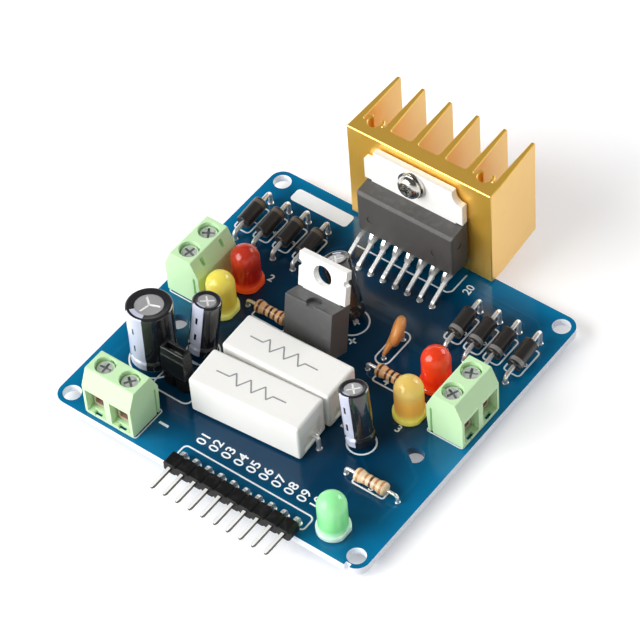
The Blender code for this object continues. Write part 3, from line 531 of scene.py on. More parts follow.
def carved(body: BMesh, *tools: BMesh) -> BMesh:
    """Cuts tools from a body one after another.

    Args:
        body: The shape that is cut, which is freed.
        tools: The shapes that cut it, which are freed too.

    Returns:
        The cut shape.
    """
    for tool in tools:
        cutter = shown("tool", meshed(tool, "tool"))

        def cut(thing: bpy.types.Object, cutter: bpy.types.Object = cutter) -> None:
            """Adds the exact difference with the cutter.

            Args:
                thing: The object that is cut.
                cutter: The object that cuts it.
            """
            modifier = thing.modifiers.new("cut", "BOOLEAN")
            modifier.operation = "DIFFERENCE"
            modifier.solver = "EXACT"
            modifier.object = cutter

        body = settled(finished(body, cut))
        bpy.data.batch_remove([cutter, cutter.data])
    bmesh.ops.remove_doubles(body, verts=body.verts, dist=1e-4)
    bmesh.ops.dissolve_limit(body, angle_limit=math.radians(1), verts=body.verts, edges=body.edges)
    return body


def banded(bm: BMesh, bands: Sequence[tuple[float, float, int]]) -> BMesh:
    """Cuts rings round a shape that stands on Z and gives each its own material.

    Args:
        bm: The shape.
        bands: Low end, high end and material number of each band.

    Returns:
        The same shape.
    """
    for height in {edge for low, high, _ in bands for edge in (low, high)}:
        bmesh.ops.bisect_plane(
            bm, geom=[*bm.verts, *bm.edges, *bm.faces], dist=1e-4, plane_co=(0, 0, height), plane_no=(0, 0, 1)
        )
    for face in bm.faces:
        middle = face.calc_center_median().z
        for low, high, number in bands:
            if low < middle < high:
                face.material_index = number
    return bm


def mirrored(right: Sequence[Flat]) -> list[Flat]:
    """Closes an outline with the mirror image of its right half."""
    return [*right, *((-x, z) for x, z in reversed(right))]


def arc(centre: Flat, radius: float, start: float, end: float, steps: int) -> list[Flat]:
    """Gives points along an arc, in degrees, ends included."""
    turns = [math.radians(start + (end - start) * step / steps) for step in range(steps + 1)]
    return [(centre[0] + radius * math.cos(turn), centre[1] + radius * math.sin(turn)) for turn in turns]


def ring(centre: Flat, radius: float, steps: int = 48) -> list[Flat]:
    """Gives the points of a full circle."""
    return arc(centre, radius, 0, 360 - 360 / steps, steps - 1)


def rounded_box(low: Flat, high: Flat, radius: float, steps: int = 5) -> list[Flat]:
    """Gives the outline of a rectangle with round corners.

    Args:
        low: Its lowest corner.
        high: Its highest corner.
        radius: Radius of the corners.
        steps: Edges along each corner.

    Returns:
        The outline.
    """
    left, right = low[0] + radius, high[0] - radius
    front, back = low[1] + radius, high[1] - radius
    outline: list[Flat] = []
    for number, centre in enumerate(((right, back), (left, back), (left, front), (right, front))):
        outline += arc(centre, radius, 90 * number, 90 * number + 90, steps)
    return outline


# ---------------------------------------------------------------- finishes


class Tree:
    """The node tree of one material, world or node group."""

    def __init__(self, tree: bpy.types.NodeTree) -> None:
        """Takes the tree that nodes are added to."""
        self.tree = tree

    def fill(self, node: bpy.types.Node, inputs: Mapping[str | int, object]) -> None:
        """Links or sets a node's inputs.

        Args:
            node: The node.
            inputs: A value or a socket for each named or numbered input.
        """
        for name, value in inputs.items():
            if isinstance(value, bpy.types.NodeSocket):
                self.tree.links.new(value, node.inputs[name])
            else:
                node.inputs[name].default_value = value

    def add(self, kind: str, inputs: Mapping[str | int, object] | None = None, **settings: object) -> bpy.types.Node:
        """Adds a node.

        Args:
            kind: Blender's name of the node's type.
            inputs: A value or a socket for each named or numbered input.
            settings: The node's own settings.

        Returns:
            The node.
        """
        node = self.tree.nodes.new(kind)
        for name, value in settings.items():
            setattr(node, name, value)
        self.fill(node, inputs or {})
        return node

    def maths(self, operation: str, *values: object) -> bpy.types.NodeSocket:
        """Adds a Math node and gives its result."""
        return self.add("ShaderNodeMath", dict(enumerate(values)), operation=operation).outputs[0]

    def noise(self, place: object, scale: object, detail: float = 2.0) -> bpy.types.NodeSocket:
        """Adds soft noise and gives its value."""
        return self.add("ShaderNodeTexNoise", {"Vector": place, "Scale": scale, "Detail": detail}).outputs[0]

    def ranged(self, value: object, low: float, high: float) -> bpy.types.NodeSocket:
        """Maps a value to 0 at the low end and 1 at the high end."""
        return self.add("ShaderNodeMapRange", {0: value, 1: low, 2: high}).outputs[0]

    def split(self, vector: object) -> Sequence[bpy.types.NodeSocket]:
        """Gives a vector's three parts."""
        return self.add("ShaderNodeSeparateXYZ", {0: vector}).outputs

    def blend(self, share: object, first: object, second: object) -> bpy.types.NodeSocket:
        """Mixes two colours by a share and gives the result."""
        return self.add("ShaderNodeMix", {0: share, 6: first, 7: second}, data_type="RGBA").outputs[2]

    def points(self, scale: Point = (1, 1, 1)) -> bpy.types.NodeSocket:
        """Gives Object coordinates through a Mapping node."""
        place = self.add("ShaderNodeTexCoord").outputs["Object"]
        return self.add("ShaderNodeMapping", {"Vector": place, "Scale": scale}).outputs[0]


class SharedEffects:
    """Node groups that several finishes use. Each is built once."""

    def __init__(self) -> None:
        """Builds every group."""
        self.mottle = self._mottle()
        self.grain = self._grain()
        self.dust = self._dust()

    @staticmethod
    def _group(
        name: str, inputs: dict[str, str], outputs: dict[str, str]
    ) -> tuple[Tree, Mapping[str, bpy.types.NodeSocket], bpy.types.Node]:
        """Starts a group with named sockets.

        Args:
            name: Name of the group.
            inputs: Kind of each input by name.
            outputs: Kind of each output by name.

        Returns:
            The tree, the values that come in and the node that they go out by.
        """
        group = bpy.data.node_groups.new(name, "ShaderNodeTree")
        for way, sockets in (("INPUT", inputs), ("OUTPUT", outputs)):
            for title, kind in sockets.items():
                group.interface.new_socket(title, in_out=way, socket_type=f"NodeSocket{kind}")
        tree = Tree(group)
        return tree, tree.add("NodeGroupInput").outputs, tree.add("NodeGroupOutput")

    def _mottle(self) -> bpy.types.NodeTree:
        """Lightens and darkens a colour and a roughness by soft noise.

        Returns:
            The group.
        """
        names = {"Vector": "Vector", "Colour": "Color", "Scale": "Float", "Amount": "Float", "Roughness": "Float"}
        tree, given, out = self._group("mottle", names, {"Colour": "Color", "Roughness": "Float"})
        cloud = tree.noise(given["Vector"], given["Scale"], 5.0)
        swing = tree.maths("MULTIPLY", tree.maths("SUBTRACT", cloud, 0.5), 2.0)
        factor = tree.maths("MULTIPLY_ADD", swing, given["Amount"], 1.0)
        scaled = tree.add("ShaderNodeVectorMath", {0: given["Colour"], "Scale": factor}, operation="SCALE")
        tree.fill(out, {"Colour": scaled.outputs[0], "Roughness": tree.maths("MULTIPLY", given["Roughness"], factor)})
        return tree.tree

    def _grain(self) -> bpy.types.NodeTree:
        """Makes a height of fine grain, which a stretched vector draws out into brushed lines.

        Returns:
            The group.
        """
        tree, given, out = self._group("grain", {"Vector": "Vector", "Scale": "Float"}, {"Height": "Float"})
        fine = tree.noise(given["Vector"], given["Scale"], 3.0)
        coarse = tree.noise(given["Vector"], tree.maths("MULTIPLY", given["Scale"], 0.21))
        tree.fill(out, {"Height": tree.maths("MULTIPLY_ADD", coarse, 0.8, fine)})
        return tree.tree

    def _dust(self) -> bpy.types.NodeTree:
        """Makes a faint mask of dust that lies on faces that look up.

        Returns:
            The group.
        """
        tree, given, out = self._group("dust", {"Vector": "Vector", "Amount": "Float"}, {"Mask": "Float"})
        up = tree.split(tree.add("ShaderNodeNewGeometry").outputs["Normal"])[2]
        sharp = tree.ranged(tree.noise(given["Vector"], 900.0, 6.0), 0.5, 0.72)
        amount = tree.maths("MULTIPLY", sharp, given["Amount"])
        tree.fill(out, {"Mask": tree.maths("MULTIPLY", tree.maths("MAXIMUM", up, 0.0), amount)})
        return tree.tree


@dataclass(frozen=True)
class Finish:
    """A solid finish: mottled colour, fine grain and a little dust.

    Scales are in Object coordinates, per metre. The stretch is each axis's share of the grain's scale, so a
    small value draws the grain out along that axis.
    """

    name: str
    colour: str
    roughness: float
    metallic: float = 0.0
    coat: float = 0.0
    coat_ior: float = 1.5
    coat_roughness: float = 0.08
    specular: float = 0.5
    mottle: float = 0.06
    mottle_scale: float = 350.0
    grain: float = 0.15
    grain_scale: float = 3000.0
    grain_height: float = 0.00002
    stretch: Point = (1, 1, 1)
    dust: float = 0.0
    dust_colour: Colour = (0.5, 0.48, 0.45)
    scatter: float = 0.0
    depth: float = 0.0008
    clear: float = 0.0
    painted_glow: float = 0.0

    def material(self, effects: SharedEffects) -> bpy.types.Material:
        """Builds the material.

        Args:
            effects: The shared node groups.

        Returns:
            The material.
        """
        made = bpy.data.materials.new(self.name)
        made.use_nodes = True
        tree = Tree(made.node_tree)
        shader = made.node_tree.nodes["Principled BSDF"]
        place = tree.points()
        spots = {"Vector": place, "Colour": self.paint(tree, place), "Scale": self.mottle_scale}
        spots |= {"Amount": self.mottle, "Roughness": self.roughness}
        mottle = tree.add("ShaderNodeGroup", spots, node_tree=effects.mottle).outputs
        tint = mottle["Colour"]
        if self.dust:
            specks = tree.add("ShaderNodeGroup", {"Vector": place, "Amount": self.dust}, node_tree=effects.dust)
            tint = tree.blend(specks.outputs["Mask"], tint, (*self.dust_colour, 1.0))
        lines = {"Vector": tree.points(self.stretch), "Scale": self.grain_scale}
        height = tree.add("ShaderNodeGroup", lines, node_tree=effects.grain).outputs[0]
        relief = {"Height": self.relief(tree, place, height), "Strength": self.grain, "Distance": self.grain_height}
        sockets = {
            "Base Color": tint,
            "Roughness": mottle["Roughness"],
            "Normal": tree.add("ShaderNodeBump", relief).outputs[0],
            "Metallic": self.metallic,
            "Coat Weight": self.coat,
            "Coat Roughness": self.coat_roughness,
            "Coat IOR": self.coat_ior,
            "Specular IOR Level": self.specular,
            "Transmission Weight": self.clear,
        }
        # Painted glow: emission in the surface's own colour, standing in for light passing through the lens resin.
        if self.painted_glow:
            sockets |= {"Emission Color": tint, "Emission Strength": self.painted_glow}
        if self.scatter:
            sockets |= {"Subsurface Weight": self.scatter, "Subsurface Scale": self.depth}
            sockets["Subsurface Radius"] = (1.0, 0.8, 0.5)
        tree.fill(shader, sockets)
        return made

    def paint(self, tree: Tree, place: bpy.types.NodeSocket) -> object:
        """Gives the colour before it is mottled."""
        return (*shade(self.colour), 1.0)

    def relief(self, tree: Tree, place: bpy.types.NodeSocket, grain: bpy.types.NodeSocket) -> bpy.types.NodeSocket:
        """Gives the height that is turned into bump."""
        return grain


@dataclass(frozen=True)
class MaskedBoard(Finish):
    """Solder mask over laminate, painted lighter blue near the board's edges: painted light that stands in for light
    coming in from the side.
    """

    # The lighter blue painted near the edges as light coming in from the side.
    lit_edge: str = "#0074a4"
    half_x: float = 0.0315
    half_y: float = 0.03085
    middle_y: float = -0.003225
    reach: float = 0.014
    narrow: float = 1.4
    cloud_scale: float = 70.0
    cloud_swing: float = 0.008
    fall: float = 1.7
    weave_scale: float = 320.0

    def paint(self, tree: Tree, place: bpy.types.NodeSocket) -> object:
        """Mixes the inner colour with the painted edge light, by the distance to the nearest edge.

        Args:
            tree: The material's tree.
            place: Object coordinates.

        Returns:
            The colour.
        """
        split = tree.split(place)
        off = tree.maths("ABSOLUTE", tree.maths("SUBTRACT", split[1], self.middle_y))
        beside = tree.maths("SUBTRACT", self.half_x, tree.maths("ABSOLUTE", split[0]))
        ahead = tree.maths("MULTIPLY", tree.maths("SUBTRACT", self.half_y, off), self.narrow)
        inside = tree.maths("MINIMUM", beside, ahead)
        cloud = tree.maths("SUBTRACT", tree.noise(place, self.cloud_scale), 0.5)
        uneven = tree.maths("MULTIPLY_ADD", cloud, self.cloud_swing, inside)
        # The share grows towards the edges, where the painted edge light is mixed in.
        share = tree.maths("POWER", tree.ranged(uneven, self.reach, 0.0), self.fall)
        return tree.blend(share, (*shade(self.colour), 1.0), (*shade(self.lit_edge), 1.0))

    def relief(self, tree: Tree, place: bpy.types.NodeSocket, grain: bpy.types.NodeSocket) -> bpy.types.NodeSocket:
        """Adds the weave of the glass cloth to the grain.

        Args:
            tree: The material's tree.
            place: Object coordinates.
            grain: The grain's height.

        Returns:
            The height.
        """
        waves = []
        for scale in ((1, 0, 0), (0, 1, 0)):
            across = tree.add("ShaderNodeMapping", {"Vector": place, "Scale": scale}).outputs[0]
            wave = {"Vector": across, "Scale": self.weave_scale}
            waves.append(tree.add("ShaderNodeTexWave", wave, bands_direction="DIAGONAL").outputs[1])
        return tree.maths("MULTIPLY_ADD", tree.maths("MULTIPLY", *waves), 0.5, grain)


@dataclass(frozen=True)
class Lens(Finish):
    """Tinted resin of a lamp, with painted shade on the waist where the lead frame sits, painted light on the flange
    and a painted glow.
    """

    mottle: float = 0.05
    mottle_scale: float = 500.0
    grain: float = 0.05
    grain_scale: float = 500.0
    clear: float = 0.12
    scatter: float = 0.85
    depth: float = 0.003
    # Painted glow of light passing through the resin.
    painted_glow: float = 0.13
    # waist is painted shade of the lead frame inside; rim is painted light gathered in the flange.
    waist: str = "#808080"
    rim: str = "#808080"
    foot: float = 0.0034
    top: float = 0.012

    def paint(self, tree: Tree, place: bpy.types.NodeSocket) -> object:
        """Runs from the rim's painted light through the waist's painted shade to the dome's colour, with the height.

        Args:
            tree: The material's tree.
            place: Object coordinates.

        Returns:
            The colour.
        """
        share = tree.ranged(tree.split(place)[2], self.foot, self.top)
        ramp = tree.add("ShaderNodeValToRGB", {0: share})
        stops = ((0.1, self.rim), (0.26, self.waist), (0.5, self.waist), (0.75, self.colour))
        while len(ramp.color_ramp.elements) < len(stops):
            ramp.color_ramp.elements.new(0.5)
        for element, (position, colour) in zip(ramp.color_ramp.elements, stops):
            element.position = position
            element.color = (*shade(colour), 1.0)
        return ramp.outputs[0]


BOARD = {"specular": 0.35, "mottle": 0.08}
MOULDED = {"grain": 0.4, "grain_scale": 6000, "dust": 0.08}
GLOSS = {"coat": 0.3, "mottle": 0.08, "grain": 0.25, "grain_scale": 1500}
SHRUNK = {"grain_scale": 700, "grain_height": 0.0001}
FINISHES = (
    # Both mask finishes are painted lighter near the board's edges, as light coming in from the side.
    MaskedBoard("solder_mask_blue", "#003554", 0.16, grain=0.12, **BOARD),
    MaskedBoard("covered_copper", "#073d5b", 0.18, lit_edge="#0478a7", grain=0.1, **BOARD),
    Finish("laminate_edge", "#f1f5fd", 0.55, mottle=0.08, grain=0.3, stretch=(0.1, 0.1, 1)),
    Finish("legend_white", "#f6fbff", 0.5, specular=0.4, mottle=0.03, mottle_scale=900, grain=0.2),
    Finish(
        "gold_anodised",
        "#ffc948",
        0.38,
        metallic=0.66,
        coat=0.85,
        coat_ior=1.8,
        coat_roughness=0.32,
        mottle=0.04,
        grain=0.35,
        grain_scale=5200,
        grain_height=0.00003,
        stretch=(1, 1, 0.02),
    ),
    Finish("chip_black", "#545250", 0.5, specular=0.4, **MOULDED),
    Finish("regulator_black", "#505050", 0.45, **MOULDED),
    Finish("header_black", "#0b0b0c", 0.5, specular=0.3, mottle=0.08, grain=0.2, dust=0.03),
    Finish("shiny_black", "#161617", 0.28, coat=0.5, mottle=0.08, dust=0.05),
    Finish("tin_satin", "#fdfdfb", 0.32, metallic=0.06, grain=0.25, stretch=(0.05, 1, 1)),
    Finish("tin_bright", "#faf9f6", 0.28, metallic=0.68, mottle=0.12, grain=0.3, grain_scale=1800),
    Finish("solder", "#dcdcdc", 0.34, metallic=0.7, mottle=0.12, grain=0.4, grain_scale=1500),
    Finish("nickel_screw", "#d8d5cf", 0.18, metallic=1.0, mottle=0.08, grain=0.2),
    Finish(
        "zinc_screw", "#f2f4f2", 0.3, metallic=0.6, mottle=0.3, mottle_scale=1500, grain=1.0, grain_height=0.00008
    ),
    # Darker grey for the screw's cross recess: painted shade.
    Finish("shaded_screw_recess", "#a6aca8", 0.4, metallic=0.55, mottle=0.3, mottle_scale=1500),
    Finish("cage_metal", "#d8bcae", 0.4, metallic=0.7, mottle=0.1, grain=0.3),
    # A dark copy of tin: painted shade for pin sides.
    Finish("shaded_pin_tin", "#544e42", 0.3, metallic=0.75, mottle=0.12, grain=0.2, stretch=(1, 0.1, 1)),
    Finish(
        "pale_green_plastic",
        "#ccf0be",
        0.45,
        specular=0.3,
        mottle=0.03,
        mottle_scale=200,
        grain=0.25,
        grain_scale=4000,
        scatter=0.06,
    ),
    Finish("black_sleeve", "#222226", 0.16, coat=1.0, mottle=0.5, mottle_scale=1300, grain=0.6, **SHRUNK),
    Finish("sleeve_stripe", "#ced2e6", 0.3, coat=0.5, mottle=0.1, grain=0.5, **SHRUNK),
    Finish("can_top", "#c4c4c6", 0.34, metallic=0.5, mottle=0.15, grain=0.4, stretch=(1, 0.2, 1)),
    Finish("white_ceramic", "#f4f3ef", 0.62, mottle=0.02, grain=0.5, grain_scale=2500, scatter=0.1),
    Finish("cement_fill", "#f3f0e8", 0.85, mottle=0.1, mottle_scale=1500, grain=0.9, grain_height=0.00008),
    Finish("grey_print", "#98989c", 0.6, mottle=0.3, mottle_scale=1600),
    Finish("orange_dip", "#dc9450", 0.35, mottle=0.1, mottle_scale=600, grain=0.3, grain_scale=1200),
    Finish("tan_lacquer", "#e8b680", 0.3, **GLOSS),
    Finish("beige_lacquer", "#f0d4ac", 0.3, **GLOSS),
    Finish("band_brown", "#6b3318", 0.32, coat=0.3),
    Finish("band_black", "#2a201b", 0.32, coat=0.3),
    Finish("band_orange", "#c88c5c", 0.32, coat=0.3),
    Finish("diode_black", "#2b2827", 0.32, coat=0.2, mottle=0.12, grain=0.3, stretch=(1, 0.1, 1)),
    Finish("diode_band", "#93918e", 0.4, metallic=0.3, mottle=0.15),
    Finish("diode_band_dull", "#5f564c", 0.4, mottle=0.15),
    Finish("rubber_bung", "#101010", 0.7, grain=0.5),
    # Each lens has a painted shade colour for its waist and a painted light colour for its rim.
    Lens("lens_red_deep", "#c03a26", 0.06, clear=0.3, scatter=0.5, waist="#ac200e", rim="#ff6428"),
    Lens("lens_red_bright", "#dc4420", 0.06, waist="#ff3c14", rim="#ff521c"),
    Lens("lens_yellow", "#ecdc62", 0.07, waist="#e6d050", rim="#fffc8c"),
    Lens("lens_amber", "#e4c870", 0.07, waist="#ffbe58", rim="#fff070"),
    Lens("lens_green", "#9cecaa", 0.07, waist="#8ee698", rim="#d8ffe0"),
)


# ---------------------------------------------------------------- pieces


@dataclass
class Workshop:
    """What every sub-assembly shares: the materials, and the leads that go through the board."""

    materials: dict[str, bpy.types.Material]
    leads: list[tuple[float, float, float]] = field(default_factory=list)

    def drill(self, x: float, y: float, radius: float) -> None:
        """Notes a lead's place and radius, for its pads and solder."""
        self.leads.append((x, y, radius))

    def piece(
        self,
        name: str,
        bm: BMesh,
        finishes: Sequence[str],
        slot: str,
        replaces: Sequence[str] = (),
        body: str = "board",
        smooth: float = 35.0,
    ) -> None:
        """Places a shape in the row frame and dresses it.

        Args:
            name: The piece's name.
            bm: The shape in board millimetres, which is freed.
            finishes: Material names in the order of the shape's material numbers.
            slot: The record's material slot; not used.
            replaces: CAD nodes that the piece stands for.
            body: The CAD body that it rides on.
            smooth: Edges below this angle, in degrees, are shaded smooth.
        """
        bmesh.ops.transform(bm, matrix=BOARD_PLACE, verts=bm.verts)
        mesh = meshed(bm, name)
        for finish in finishes:
            mesh.materials.append(self.materials[finish])
        mesh.shade_smooth()
        mesh.set_sharp_from_angle(angle=math.radians(smooth))
        thing = shown(name, mesh)
        thing.modifiers.new("flat_faces_stay_flat", "WEIGHTED_NORMAL").keep_sharp = True
        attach(thing, body)
        if replaces:
            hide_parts(*replaces)
        log.info("%s: %d faces on %s", name, len(mesh.polygons), body)

    def metal(self, name: str, bm: BMesh, replaces: Sequence[str] = ()) -> None:
        """Dresses a shape in bright tin."""
        self.piece(name, bm, ["tin_bright"], "tinned_metal", replaces)


@dataclass
class Assembly:
    """A sub-assembly, which builds its pieces in a workshop."""

    shop: Workshop

    def build(self) -> None:
        """Makes the pieces."""
        raise NotImplementedError


@dataclass
class Heatsink(Assembly):
    """A gold extrusion: base plate, six leaning fins and two screw channels."""

    centre: float = MIDDLE - 0.25
    width: float = 29.2
    front: float = HOLE_PITCH[1] + 1.1
    depth: float = 14.1
    base: float = 3.0
    bottom: float = 0.5
    top: float = 21.4
    fins: int = 6
    root: float = 1.4
    tip: float = 0.8
    lean: float = 0.5
    fillet: float = 0.45
    channel_fillet: float = 0.2
    channel_slots: tuple[int, int] = (0, 4)
    channel: float = 1.15
    wall: float = 0.65
    rise: float = 0.25
    mouth: float = 40.0
    bevel: float = 0.15

    def outline(self) -> list[Flat]:
        """Gives the extrusion's section, with its fillets and channels.

        Returns:
            The section's corners in order.
        """
        left = self.centre - self.width / 2
        floor = self.front + self.base
        back = self.front + self.depth
        pitch = (self.width - self.root) / (self.fins - 1)
        points = [(left, self.front)]
        for index in range(self.fins):
            start = left + pitch * index
            middle = start + self.root / 2 - (self.lean if index else 0)
            if index:
                reach = self._fillet(index - 1)
                points += arc((start - reach, floor + reach), reach, 270, 360, 4)
            edge = max(middle - self.tip / 2, left)
            points += [(edge, back), (edge + self.tip, back)]
            if index == self.fins - 1:
                continue
            reach = self._fillet(index)
            points += arc((start + self.root + reach, floor + reach), reach, 180, 270, 4)
            if index in self.channel_slots:
                centre = (start + (pitch + self.root) / 2, floor + self.rise)
                outer = self.channel + self.wall
                foot = math.degrees(math.asin(self.rise / outer))
                points += arc(centre, outer, 180 + foot, 90 + self.mouth, 8)
                points += arc(centre, self.channel, 90 + self.mouth, 450 - self.mouth, 24)
                points += arc(centre, outer, 90 - self.mouth, -foot, 8)
        return [*points, (left + self.width, floor), (left + self.width, self.front)]

    def _fillet(self, slot: int) -> float:
        """Gives the root fillet in a slot between fins, which is smaller beside a screw channel."""
        return self.channel_fillet if slot in self.channel_slots else self.fillet

    def build(self) -> None:
        """Makes the extrusion with its cut edges just broken."""
        bm = soften(extruded(self.outline(), self.bottom, self.top), self.bevel, 1, 40, clamp=False)
        self.shop.piece("heatsink_extrusion", bm, ["gold_anodised"], "gold_anodised", ["heatsink"])


@dataclass
class DriverChip(Assembly):
    """The power chip: moulded body, bitten metal tab, fifteen bent leads and the screw that holds it."""

    centre: float = MIDDLE
    width: float = 19.6
    back: float = HOLE_PITCH[1] + 0.8
    front: float = HOLE_PITCH[1] - 3.7
    bottom: float = 3.3
    top: float = 13.0
    front_marks: tuple[float, float] = (22.0, 35.2)
    front_mark_z: float = 7.0
    side_mark: Flat = (55.1, 9.3)
    tab_centre: float = MIDDLE - 0.25
    tab_width: float = 20.0
    tab_t: float = 1.3
    tab_foot: float = 4.4
    tab_top: float = 20.0
    ear: float = 17.5
    bite: float = 2.0
    hole: float = 1.85
    hole_z: float = 17.3
    leads: int = 15
    pitch: float = 1.27
    row: float = HOLE_PITCH[1] - 3.45
    row_step: float = 5.08
    lead: Flat = (0.7, 0.5)
    thread: float = 0.5
    thread_turns: int = 13
    screw_turn: float = 20.0

    def build(self) -> None:
        """Makes the body, tab, leads and screw."""
        self._body()
        self._tab()
        self._leads()
        self._screw()

    def _body(self) -> None:
        """Moulds the body, with its tab pocket and ejector marks."""
        half = self.width / 2
        profile = [(self.front, self.bottom + 0.3), (self.back - 1.6, self.bottom), (self.back, self.bottom + 0.1)]
        profile += [(self.back, self.top), (self.front + 0.5, self.top - 0.4), (self.front, self.top - 1.0)]
        bm = extruded(profile, self.centre - half, self.centre + half, Axis.X)
        fronts = [edge for edge in bm.edges if all(vert.co.y < self.front + 0.01 for vert in edge.verts)]
        fronts = [edge for edge in fronts if abs(edge.verts[0].co.z - edge.verts[1].co.z) > 1]
        soften(beveled(bm, fronts, 0.4, 2, clamp=False), 0.12, 2, 25)
        reach = half - 0.9
        low = (self.tab_centre - reach, self.back - self.tab_t - 0.02, self.tab_foot - LIFT)
        pocket = slab(low, (self.tab_centre + reach, self.back + 1, self.top + 1))
        depth = self.front - 1.05
        marks = [shifted(laid(drum(0.75, 0, 1.2), Axis.Y), x, depth, self.front_mark_z) for x in self.front_marks]
        side = shifted(laid(drum(0.6, 0, 1.2), Axis.X), self.centre + half - 0.15, *self.side_mark)
        bm = carved(bm, pocket, *marks, side)
        self.shop.piece("driver_chip_case", bm, ["chip_black"], "moulded_black", ["driver_chip_body"])

    def _tab(self) -> None:
        """Stamps the tab, with its two bites and its screw hole."""
        foot = self.width / 2 - 1.2
        ear = self.tab_width / 2
        rise = self.tab_top - self.ear
        shoulder = self.top + 0.1
        right = [(foot, self.tab_foot), (foot, shoulder), (ear, shoulder), (ear, self.ear)]
        for step in range(1, 11):
            turn = math.radians(9 * step)
            x = ear - 0.3 - (self.bite - 0.3) * math.sin(turn)
            right.append((x, self.ear + rise * 0.75 * (1 - math.cos(turn))))
        right.append((ear - self.bite, self.tab_top))
        outline = [(self.tab_centre + x, z) for x, z in mirrored(right)]
        hole = ring((self.tab_centre, self.hole_z), self.hole)
        bm = soften(extruded(outline, self.back - self.tab_t, self.back, Axis.Y, [hole]), 0.08)
        self.shop.piece("driver_chip_plate", bm, ["tin_satin"], "tinned_metal", ["driver_chip_tab"])

    def _leads(self) -> None:
        """Bends the fifteen leads in two rows, the even ones to the row in front."""
        plane = self.back - 2.35
        parts = []
        for index in range(self.leads):
            x = self.centre + (index - (self.leads - 1) / 2) * self.pitch
            step, reach, drop, knee = (0, 1.2, 0.6, 1.4) if index % 2 else (self.row_step, 4.1, 0.55, 0.55)
            row = self.row - step
            path = [(x, plane, self.bottom + 0.4), (x, plane, self.bottom - 0.55)]
            path += [(x, row + reach, self.bottom - drop), (x, row, knee), (x, row, LEAD_END)]
            parts.append(strip(rounded(path, 0.5), *self.lead))
            self.shop.drill(x, row, 0.43)
        self.shop.metal("driver_chip_leads", merged(*parts))

    def _screw(self) -> None:
        """Turns the pan-head screw with its cross recess, washer and threaded end."""
        head = [(0.0, 1.88), (1.3, 1.9), (1.6, 1.8), (2.0, 1.5), (2.2, 1.1), (2.25, 0.8), (2.2, 0.55), (1.6, 0.5)]
        cap = carved(turned([*head, (0.0, 0.5)], 40), *cross(1.25, 0.27, 1.0, 2.4))
        washer = turned([(1.5, 0.02), (2.6, 0.02), (2.62, 0.1), (2.6, 0.48), (1.5, 0.48), (1.5, 0.02)], 48)
        thread = [(0.0, 0.6), (1.45, 0.55)]
        for turn in range(self.thread_turns):
            thread += [(1.5, -self.thread * turn), (1.28, -self.thread * turn - self.thread / 2)]
        bm = merged(cap, washer, turned([*thread, (1.2, -6.35), (0.0, -6.4)], 24))
        place = Matrix.Translation((self.tab_centre, self.back - self.tab_t - 0.02, self.hole_z))
        placed(bm, place @ (Matrix.Rotation(math.pi / 2, 4, "X") @ spun(self.screw_turn)))
        self.shop.piece("heatsink_fastener", bm, ["nickel_screw"], "zinc_steel", ["heatsink_screw"])


@dataclass
class Regulator(Assembly):
    """The leaning three-lead regulator."""

    foot: Point = (MIDDLE - 1.05, 26.9, 3.0)
    turn: Point = (math.radians(-16.5), math.radians(-6.6), math.radians(-2.7))
    width: float = 10.1
    depth: float = 4.5
    height: float = 9.1
    tab_t: float = 1.3
    tab_foot: float = 1.1
    tab_top: float = 15.7
    waist: float = 1.05
    nick: float = 2.9
    nick_depth: float = 0.55
    hole: float = 1.9
    hole_z: float = 12.9
    lead: Flat = (0.8, 0.5)
    lead_y: float = 1.9
    row: float = 27.9

    def build(self) -> None:
        """Makes the body, the tab and three bent leads."""
        place = Matrix.Translation(self.foot) @ Euler(self.turn).to_matrix().to_4x4()
        half = self.width / 2
        tab_front = self.depth - self.tab_t
        top = self.height
        profile = [(0.25, 0), (self.depth, 0), (self.depth, top), (0.45, top), (0, top - 0.15), (0, 0.6)]
        bm = soften(extruded(profile, -half, half, Axis.X), 0.12, 2, 25)
        pocket = slab((-half + 0.75, tab_front - 0.02, 0.8), (half - 0.75, self.depth + 1, top + 1))
        recess = shifted(drum(1.35, 0, 2), 0.3, 1.15, top - 0.6)
        bm = placed(carved(bm, pocket, recess), place)
        self.shop.piece("regulator_case", bm, ["regulator_black"], "moulded_black", ["regulator_body"])

        nick = self.tab_top - self.nick
        narrow = half - self.waist
        deep = half - self.nick_depth
        right = [(narrow, self.tab_foot), (narrow, top + 0.1), (half, top + 0.1), (half, nick)]
        right += [(deep, nick + 0.2), (deep, nick + 1.0), (half, nick + 1.2), (half, self.tab_top)]
        hole = ring((0, self.hole_z), self.hole)
        bm = soften(extruded(mirrored(right), tab_front, self.depth, Axis.Y, [hole]), 0.08)
        self.shop.piece("regulator_plate", placed(bm, place), ["tin_satin"], "tinned_metal", ["regulator_tab"])

        parts = []
        for column in (-1, 0, 1):
            x = self.foot[0] + 0.35 + column * PITCH
            path = [tuple(place @ Vector((column * PITCH, self.lead_y, z))) for z in (0.8, -1.3)]
            path += [(x, self.row, 0.8), (x, self.row, LEAD_END)]
            parts.append(strip(rounded(path, 0.5), *self.lead))
            self.shop.drill(x, self.row, 0.42)
        self.shop.metal("regulator_leads", merged(*parts))


